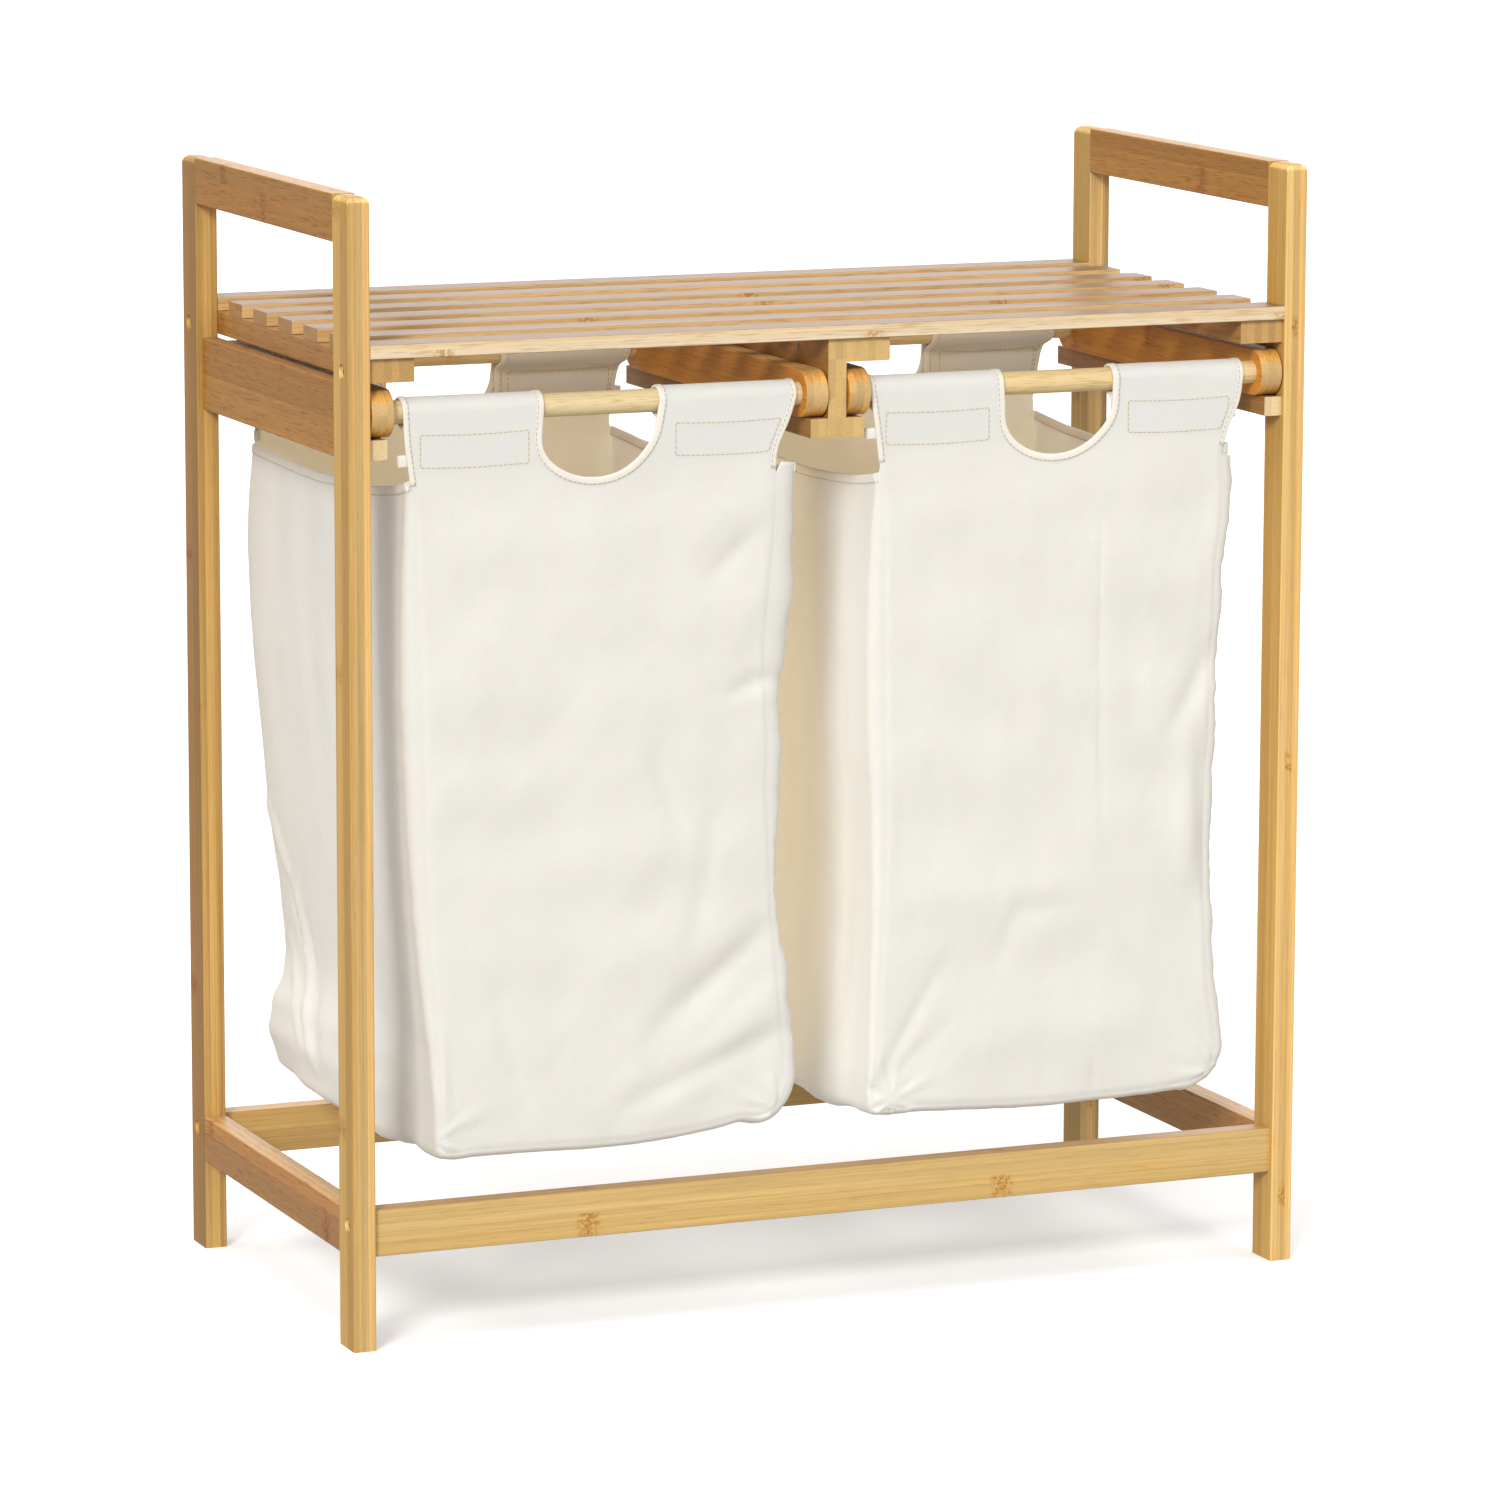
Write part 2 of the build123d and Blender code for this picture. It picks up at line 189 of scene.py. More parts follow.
def bamboo(name, grain, cells, tones, seed, contrast=1.0, knuckles=1.0, dash=0.5, gloss=0.28, end=(196, 150, 92)):
    """Laminated bamboo. grain is the axis of the fibres, cells the (size, offset) of the strips on the
    other two axes, and tones the sRGB colours of the faces that look along X, Y and Z."""
    s = Shader(name)
    axis = AXES[grain]
    others = [i for i in range(3) if i != axis]
    at = s.split(s.where)
    facing = [s.calc("ABSOLUTE", n) for n in s.split(s.normal)]
    along = at[axis]
    across = [at[i] for i in others]

    index, edge = [], None
    for value, (size, offset) in zip(across, cells):
        unit = s.calc("DIVIDE", s.sub(value, offset), size)
        index.append(s.calc("FLOOR", unit))
        fraction = s.calc("FRACT", unit)
        near = s.mul(s.calc("MINIMUM", fraction, s.sub(1.0, fraction)), size)
        edge = near if edge is None else s.calc("MINIMUM", edge, near)
    strip = s.hashed(s.join(index[0], index[1], float(seed)))

    shift = [s.mul(strip[i], 9.0) for i in range(3)]

    def fibres(long_scale, cross_scale, detail=3.0, roughness=0.6, nudge=0.0):
        return s.noise(
            s.join(
                s.calc("MULTIPLY_ADD", along, long_scale, s.add(shift[0], nudge)),
                s.calc("MULTIPLY_ADD", across[0], cross_scale, shift[1]),
                s.calc("MULTIPLY_ADD", across[1], cross_scale, shift[2]),
            ),
            detail=detail,
            roughness=roughness,
        )

    fine = fibres(5.0, 760.0, 4.0, 0.72)
    dashes = fibres(60.0, 1000.0, 1.5, 0.5, 3.1)
    medium = fibres(0.8, 260.0, 3.0, 0.6, 5.7)
    broad = fibres(1.6, 45.0, 2.0, 0.5, 8.3)

    # the face's own tone, by the way that it looks
    weights = [s.calc("POWER", n, 3.0) for n in facing]
    tone = s.mix(weights[1], linear(tones[0]), linear(tones[1]))
    tone = s.mix(weights[2], tone, linear(tones[2]))

    # strips differ in lightness, and in how yellow they are
    value = s.calc("MULTIPLY_ADD", s.sub(strip[0], 0.5), 0.34 * contrast, 1.03)
    value = s.add(value, s.mul(s.sub(medium, 0.5), 0.52 * contrast))
    value = s.add(value, s.mul(s.sub(broad, 0.5), 0.30 * contrast))
    value = s.add(value, s.mul(s.sub(fine, 0.5), 0.85 * contrast))
    colour = s.times(tone, s.join(value, value, value))
    dark = s.step(dashes, 0.53, 0.68)
    colour = s.stain(s.mul(dark, dash), colour, (0.66, 0.50, 0.34, 1))
    golden = s.mul(s.step(strip[1], 0.35, 0.95), 0.5)
    colour = s.stain(golden, colour, (0.98, 0.86, 0.62, 1))

    # knuckles: a mottled band across each strip, at its own height
    wobble = s.mul(s.sub(fibres(90.0, 300.0, 2.0), 0.5), 0.012)
    phase = s.calc("FRACT", s.calc("DIVIDE", s.add(s.add(along, wobble), shift[2]), KNUCKLE_PITCH))
    gap = s.mul(s.calc("ABSOLUTE", s.sub(phase, 0.5)), KNUCKLE_PITCH)
    knotty = s.step(strip[2], 0.30, 0.42)
    band = s.mul(s.step(gap, KNUCKLE_HALF * 1.7, KNUCKLE_HALF * 0.5), knotty)
    core = s.mul(s.step(gap, 0.0020, 0.0006), knotty)
    speckle = s.noise(s.where, 520.0, 2.0, 0.6)
    mottled = s.mix(
        s.step(speckle, 0.42, 0.60),
        s.times(colour, (0.68, 0.47, 0.25, 1)),
        s.times(colour, (1.06, 0.99, 0.88, 1)),
    )
    colour = s.mix(s.mul(band, 0.80 * knuckles), colour, mottled)
    colour = s.stain(s.mul(core, 0.25 * knuckles), colour, (0.62, 0.44, 0.26, 1))

    # glue lines between strips
    line = s.step(edge, 0.00032, 0.00010)
    colour = s.stain(s.mul(line, 0.42), colour, linear((150, 104, 60)))

    # cut ends, with the fibre bundles as small dots
    cut = s.step(facing[axis], 0.75, 0.95)
    dots = s.noise(s.where, 2300.0, 1.0, 0.5)
    shade = s.calc("MULTIPLY_ADD", s.sub(strip[2], 0.5), 0.24, 1.0)
    grainy = s.times(linear(end), s.join(shade, shade, shade))
    grainy = s.stain(s.mul(s.step(dots, 0.45, 0.66), 0.5), grainy, (0.60, 0.47, 0.34, 1))
    colour = s.mix(cut, colour, grainy)

    height = s.add(s.mul(fine, 0.6), s.mul(medium, 0.4))
    height = s.sub(height, s.mul(line, 0.6))
    rough = s.calc("MULTIPLY_ADD", fine, 0.18, 0.33)
    return s.finish(
        colour,
        rough,
        s.bump(height, 0.00010, 0.55),
        Specular_IOR_Level=gloss,
    )


def bolt_metal(name, colour, roughness):
    s = Shader(name)
    scratches = s.noise(s.where, 2400.0, 3.0, 0.6)
    stain = s.noise(s.where, 500.0, 2.0, 0.5)
    tint = s.stain(s.step(stain, 0.35, 0.7), linear(colour), linear((190, 176, 150)))
    return s.finish(
        tint,
        s.calc("MULTIPLY_ADD", scratches, 0.25, roughness),
        s.bump(scratches, 0.00004, 0.4),
        Metallic=1.0,
    )


def cotton(name, tone, weave=0.00052, sheen=0.15, speck=1.0, glow=0.5, lit=0.0,
           painted_glow_tint=(1.0, 0.80, 0.50, 1)):
    """Unbleached plain-weave cotton, with uneven threads, faint mottling and a few seed specks. Its emission, set by
    lit and its tint, is painted light: a faint glow standing in for light that shines through the cloth and bounces
    inside the bag.
    """
    s = Shader(name)
    x, y, z = s.split(s.where)
    nx, ny, nz = [s.calc("ABSOLUTE", n) for n in s.split(s.normal)]
    side = s.step(s.sub(nx, ny), -0.05, 0.05)
    flat = s.step(s.sub(nz, s.calc("MAXIMUM", nx, ny)), -0.05, 0.05)
    u = s.add(s.mul(x, s.sub(1.0, side)), s.mul(y, side))
    v = s.add(s.mul(z, s.sub(1.0, flat)), s.mul(y, flat))
    drift = s.mul(s.sub(s.noise(s.where, 300.0, 2.0), 0.5), 0.0006)
    warp = s.calc("SINE", s.mul(s.add(u, drift), 2 * math.pi / weave))
    weft = s.calc("SINE", s.mul(s.sub(v, drift), 2 * math.pi / weave))
    threads = s.mul(warp, weft)
    slub_u = s.noise(s.join(s.mul(u, 1700.0), s.mul(v, 60.0), 1.0), 1.0, 2.0)
    slub_v = s.noise(s.join(s.mul(u, 60.0), s.mul(v, 1700.0), 4.0), 1.0, 2.0)
    slubs = s.add(slub_u, slub_v)
    mottle = s.noise(s.where, 38.0, 3.0, 0.55)
    base = linear(tone)
    warm = s.stain(s.step(mottle, 0.30, 0.75), base, (0.992, 0.988, 0.982, 1))
    warm = s.stain(s.mul(s.step(slubs, 1.0, 1.35), 0.5), warm, (0.95, 0.935, 0.90, 1))
    gaps = s.step(threads, 0.2, -0.9)
    warm = s.stain(s.mul(gaps, 0.25), warm, (0.93, 0.91, 0.87, 1))
    seeds = s.node("ShaderNodeTexVoronoi", feature="F1")
    s.put(seeds.inputs["Vector"], s.where)
    seeds.inputs["Scale"].default_value = 42.0
    dot = s.step(seeds.outputs["Distance"], 0.020, 0.008)
    rare = s.step(s.split(seeds.outputs["Color"])[0], 0.90, 0.92)
    warm = s.mix(s.mul(s.mul(dot, rare), 0.45 * speck), warm, linear((150, 120, 84)))
    height = s.add(s.mul(threads, 0.35), s.mul(slubs, 0.6))
    return s.finish(
        warm,
        s.calc("MULTIPLY_ADD", slubs, 0.12, 0.76),
        s.bump(height, 0.00016, 0.35),
        Specular_IOR_Level=0.2,
        Sheen_Weight=sheen,
        Sheen_Roughness=0.45,
        Subsurface_Weight=glow,
        Subsurface_Radius=(1.0, 0.76, 0.44),
        Subsurface_Scale=0.0040,
        # painted light: a faint glow standing in for light through and inside the cloth
        Emission_Color=painted_glow_tint,
        Emission_Strength=lit,
    )


def hook_weave(name):
    """The rough face of a woven hook tape."""
    s = Shader(name)
    x, y, z = s.split(s.where)
    rows = s.calc("SINE", s.mul(z, 2 * math.pi / 0.0016))
    columns = s.calc("SINE", s.mul(x, 2 * math.pi / 0.0013))
    hooks = s.mul(rows, columns)
    fuzz = s.noise(s.where, 1800.0, 3.0)
    colour = s.mix(s.step(hooks, -0.6, 0.6), linear((214, 204, 184)), linear((238, 232, 218)))
    height = s.add(hooks, fuzz)
    rough = s.calc("MULTIPLY_ADD", fuzz, 0.2, 0.55)
    return s.finish(colour, rough, s.bump(height, 0.0004, 0.6), Specular_IOR_Level=0.35)


# -------------------- the bamboo frame

LIGHT_STRIPS = ((216, 179, 98), (238, 205, 136), (204, 166, 108))
REAR_STRIPS = ((176, 134, 68), (223, 184, 108), (196, 156, 98))
BROWN_FLAT = ((193, 143, 66), (226, 188, 118), (186, 146, 96))
SIDE_FLAT = ((198, 148, 82), (226, 188, 118), (188, 150, 102))
DARK_FLAT = ((230, 162, 62), (199, 160, 90), (190, 146, 88))
PALE_RAIL = ((190, 142, 76), (248, 219, 146), (192, 154, 102))
GOLD_RAIL = ((190, 142, 78), (224, 188, 116), (192, 154, 102))
DOWEL_TONES = ((218, 196, 150),) * 3
LEDGE_END = (226, 200, 152)
SLAT_TONES = ((190, 144, 86), (234, 203, 144), (159, 129, 91))
# The front slat's front face gets a paler tone than the same face of the other slats: painted light where the front
# light falls on its exposed face.
LIT_FRONT_SLAT = ((190, 144, 86), (247, 234, 200), (159, 129, 91))


def wood(node, *args, **kwargs):
    o = frame["nodes"][node]
    o.data.materials.clear()
    o.data.materials.append(bamboo("bamboo_" + node, *args, **kwargs))


def low(node):
    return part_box(node)[0]


def middle(node, axis):
    """The middle of a node's box along an axis, in millimetres."""
    a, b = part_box(node)
    return (a[AXES[axis]] + b[AXES[axis]]) / 2 / MM


for seed, (node, tones) in enumerate((
    ("left_front_post", LIGHT_STRIPS), ("left_rear_post", REAR_STRIPS),
    ("right_front_post", LIGHT_STRIPS), ("right_rear_post", LIGHT_STRIPS),
)):
    corner = low(node)
    wood(node, "Z", ((0.005, corner.x), (0.0135, corner.y)), tones, 11 + seed, contrast=1.15, dash=0.2)
for seed, side in enumerate(("left", "right")):
    for more, (part, tones, split) in enumerate((
        ("handle_rail", BROWN_FLAT, 0.018),
        ("bottom_rail", SIDE_FLAT, 0.020),
        ("side_board", BROWN_FLAT, 0.0235),
        ("ledge", PALE_RAIL, 0.0125),
        ("bearer", PALE_RAIL, 0.015),
    )):
        node = f"{side}_{part}"
        corner = low(node)
        # Bearers, handle rails, bottom rails and side boards get a darker end tone; on the bearers' front ends it is
        # painted shade from the front slat above them.
        wood(node, "Y", ((0.005, corner.x), (split, corner.z)), tones, 31 + 10 * seed + more, contrast=1.0, dash=0.7,
             end=LEDGE_END if part == "ledge" else (192, 152, 94))
    for more, part in enumerate(("frame_outer_board", "frame_inner_board")):
        node = f"{side}_{part}"
        corner = low(node)
        # The boards' rounded front ends get a darker end tone: partly the end grain's own colour, partly painted
        # shade from the shelf above.
        wood(node, "Y", ((0.005, corner.x), (0.0155, corner.z)), DARK_FLAT, 61 + 10 * seed + more, contrast=1.1,
             end=(203, 168, 114))
    for more, part in enumerate(("frame_front_dowel", "frame_rear_dowel")):
        node = f"{side}_{part}"
        corner = low(node)
        wood(node, "X", ((0.040, corner.y - 0.01), (0.040, corner.z - 0.01)), DOWEL_TONES, 81 + 10 * seed + more,
             contrast=0.45, knuckles=0.35)
for seed, node in enumerate(("centre_ledge_left", "centre_ledge_right", "centre_bearer", "centre_divider")):
    corner = low(node)
    wood(node, "Y", ((0.005, corner.x), (0.0125, corner.z)), PALE_RAIL, 101 + seed, end=(207, 173, 112))
for seed, (node, tones) in enumerate((("front_bottom_rail", PALE_RAIL), ("rear_bottom_rail", GOLD_RAIL))):
    corner = low(node)
    wood(node, "X", ((0.005, corner.y), (0.0155, corner.z)), tones, 121 + seed, contrast=0.85, dash=0.2)
front_slat = min(range(1, 8), key=lambda i: low(f"shelf_slat_{i}").y)
for i in range(1, 8):
    corner = low(f"shelf_slat_{i}")
    # the front slat's paler front face is painted light
    tones = LIT_FRONT_SLAT if i == front_slat else SLAT_TONES
    wood(f"shelf_slat_{i}", "X", ((0.0135, corner.y), (0.0045, corner.z)), tones, 131 + i, contrast=0.75,
         gloss=0.5, end=(170, 125, 70))

BRASS = bolt_metal("bolt_brass", (44, 36, 20), 0.55)
STEEL = bolt_metal("screw_steel", (150, 142, 124), 0.36)
for node, metal in (("frame_bolts", BRASS), ("slat_screws", STEEL), ("divider_screws", STEEL)):
    o = frame["nodes"][node]
    o.data.materials.clear()
    o.data.materials.append(metal)


# -------------------- mesh helpers

def new_piece(name, vertices, faces, material, body):
    """A mesh piece from points in millimetres in the row frame."""
    mesh = bpy.data.meshes.new(name)
    mesh.from_pydata((np.asarray(vertices, float) * MM).tolist(), [], [list(map(int, f)) for f in faces])
    mesh.validate()
    work = bmesh.new()
    work.from_mesh(mesh)
    bmesh.ops.recalc_face_normals(work, faces=work.faces)
    work.to_mesh(mesh)
    work.free()
    mesh.polygons.foreach_set("use_smooth", [True] * len(mesh.polygons))
    mesh.materials.append(material)
    o = bpy.data.objects.new(name, mesh)
    bpy.context.scene.collection.objects.link(o)
    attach(o, body)
    return o


def table(pairs):
    """A smooth function through (position, value) pairs."""
    pairs = sorted(pairs)
    xs = np.array([p[0] for p in pairs], float)
    ys = np.array([p[1] for p in pairs], float)

    def at(x):
        x = np.clip(np.asarray(x, float), xs[0], xs[-1])
        i = np.clip(np.searchsorted(xs, x) - 1, 0, len(xs) - 2)
        slopes = np.gradient(ys, xs) if len(xs) > 2 else np.full(len(xs), (ys[-1] - ys[0]) / (xs[-1] - xs[0]))
        h = xs[i + 1] - xs[i]
        t = (x - xs[i]) / h
        return (
            (2 * t**3 - 3 * t**2 + 1) * ys[i]
            + (t**3 - 2 * t**2 + t) * h * slopes[i]
            + (-2 * t**3 + 3 * t**2) * ys[i + 1]
            + (t**3 - t**2) * h * slopes[i + 1]
        )

    return at


def smooth01(x, a, b):
    t = np.clip((np.asarray(x, float) - a) / (b - a), 0, 1)
    return t * t * (3 - 2 * t)


class Ripple:
    """Soft value noise on a plane or in space, always the same for one seed."""

    def __init__(self, seed):
        self.random = np.random.default_rng(seed)
        self.waves = []

    def layer(self, wavelength, amplitude, count=14, stretch=(1.0, 1.0, 1.0)):
        for _ in range(count):
            direction = self.random.normal(size=3)
            direction /= np.linalg.norm(direction)
            k = 2 * math.pi / (wavelength * self.random.uniform(0.7, 1.5)) * direction / np.array(stretch)
            self.waves.append((k, self.random.uniform(0, 2 * math.pi), amplitude / math.sqrt(count / 2)))
        return self

    def __call__(self, points):
        total = np.zeros(points.shape[:-1])
        for k, phase, amplitude in self.waves:
            total += amplitude * np.sin(points @ k + phase)
        return total


def sweep(path, sides, normals, profile):
    """A closed profile of (side, normal) offsets carried along a path."""
    path, sides, normals = (np.asarray(a, float) for a in (path, sides, normals))
    profile = np.asarray(profile, float)
    count, ring = len(path), len(profile)
    vertices = (
        path[:, None]
        + sides[:, None] * profile[None, :, 0, None]
        + normals[:, None] * profile[None, :, 1, None]
    ).reshape(-1, 3)
    faces = []
    for i in range(count - 1):
        a, b = i * ring, (i + 1) * ring
        for j in range(ring):
            k = (j + 1) % ring
            faces.append((a + j, a + k, b + k, b + j))
    faces.append(tuple(range(ring))[::-1])
    faces.append(tuple(range((count - 1) * ring, count * ring)))
    return vertices, faces


def flat_profile(width, thickness, rounding=3):
    """A flattened loop from side 0 to width, with round edges."""
    r = thickness / 2
    points = []
    for i in range(rounding * 2 + 1):
        a = -math.pi / 2 + math.pi * i / (rounding * 2)
        points.append((width - r + r * math.cos(a), r * math.sin(a)))
    for i in range(rounding * 2 + 1):
        a = math.pi / 2 + math.pi * i / (rounding * 2)
        points.append((r + r * math.cos(a), r * math.sin(a)))
    return points


def resample(path, *others, pitch):
    path = np.asarray(path, float)
    gaps = np.linalg.norm(np.diff(path, axis=0), axis=1)
    at = np.concatenate(([0], np.cumsum(gaps)))
    count = max(2, int(round(at[-1] / pitch)) + 1)
    new = np.linspace(0, at[-1], count)
    return [np.stack([np.interp(new, at, a[:, i]) for i in range(3)], -1) for a in (path, *map(np.asarray, others))]


def unit(v):
    v = np.asarray(v, float)
    return v / np.maximum(np.linalg.norm(v, axis=-1, keepdims=True), 1e-9)


STITCH_PITCH, STITCH_LENGTH, STITCH_R = 3.4, 2.6, 0.28


def stitches(path, normals, lift=0.12):
    """A row of thread stitches lying on a surface along a path."""
    points, normals = resample(path, normals, pitch=STITCH_PITCH)
    middle = (points[1:] + points[:-1]) / 2
    t = unit(points[1:] - points[:-1])
    n = unit((normals[1:] + normals[:-1]) / 2)
    n = unit(n - t * (n * t).sum(-1, keepdims=True))
    b = np.cross(t, n)
    vertices, faces = [], []
    sides = 6
    stations = ((-1.0, 0.25, -0.9), (-0.8, 0.85, -0.1), (0.0, 1.0, 0.35), (0.8, 0.85, -0.1), (1.0, 0.25, -0.9))
    for m, tt, nn, bb in zip(middle, t, n, b):
        start = len(vertices)
        for s, r, up in stations:
            centre = m + tt * s * STITCH_LENGTH / 2 + nn * (lift + up * STITCH_R)
            for j in range(sides):
                a = 2 * math.pi * j / sides
                vertices.append(centre + STITCH_R * r * (bb * math.cos(a) + nn * math.sin(a)))
        for i in range(len(stations) - 1):
            for j in range(sides):
                k = (j + 1) % sides
                a, c = start + i * sides, start + (i + 1) * sides
                faces.append((a + j, a + k, c + k, c + j))
        faces.append(tuple(start + j for j in range(sides))[::-1])
        faces.append(tuple(start + (len(stations) - 1) * sides + j for j in range(sides)))
    return vertices, faces


def gather(parts):
    """Joins (vertices, faces) lists into one."""
    vertices, faces = [], []
    for v, f in parts:
        start = len(vertices)
        vertices.extend(np.asarray(v, float).tolist())
        faces.extend(tuple(start + i for i in g) for g in f)
    return vertices, faces


def tab(corner, out, size):
    """A small loop of folded cloth that sticks out from a corner."""
    reach, tall, open_by = size
    out = unit(np.array(out, float))
    up = np.array([0.0, 0, 1])
    across = np.cross(out, up)
    path, normals = [], []
    for t in np.linspace(0, 1, 15):
        a = math.pi * (t - 0.5)
        along = -3.0 + (reach + 3.0) * math.sin(math.pi * t) ** 0.55
        path.append(corner + out * along + across * open_by * math.sin(a) - up * 0.8 * math.sin(math.pi * t))
        normals.append(out * math.cos(a) + across * math.sin(a))
    path = np.array(path)
    tangent = unit(np.gradient(path, axis=0))
    sides = np.tile(up, (len(path), 1))
    sides = unit(sides - tangent * (sides * tangent).sum(-1, keepdims=True))
    return sweep(path, sides, unit(np.cross(tangent, sides)), flat_profile(tall, CLOTH, 2))


# -------------------- the bags

AXIS_Z = middle("left_frame_front_dowel", "Z")
SLEEVE_R = 9.3          # outside of the cloth round a dowel
CLOTH = 1.0
HALF = 132.0            # half the bag's width
STRAP_IN = 39.0         # half the cut-out's width
CUT_Z, CUT_RISE = 576.0, 28.0
LEFT_CORNER_R, RIGHT_CORNER_R = 5.0, 24.0
CORNER_ROWS_Z = 28.0
BELLY = 6.0             # how far the bottom hangs halfway back
FLOOR_Z = 118.0
FRONT_Y = middle("left_frame_front_dowel", "Y") - SLEEVE_R
REAR_Y = middle("left_frame_rear_dowel", "Y") + SLEEVE_R
FLAP_TOP_Z, FLAP_END_Z = 581.0, 556.0
HEM_Z = 546.0           # the side walls end here
STRAP_MID = (HALF + STRAP_IN) / 2
STRAP_TURN = 222        # degrees of cloth round a dowel
SQUEEZE_Z = 420.0       # from here up the rows close in on the cut-out
FLAP_GAP = 3.9          # outside of the panel to the outside of the flap, over the hook tape

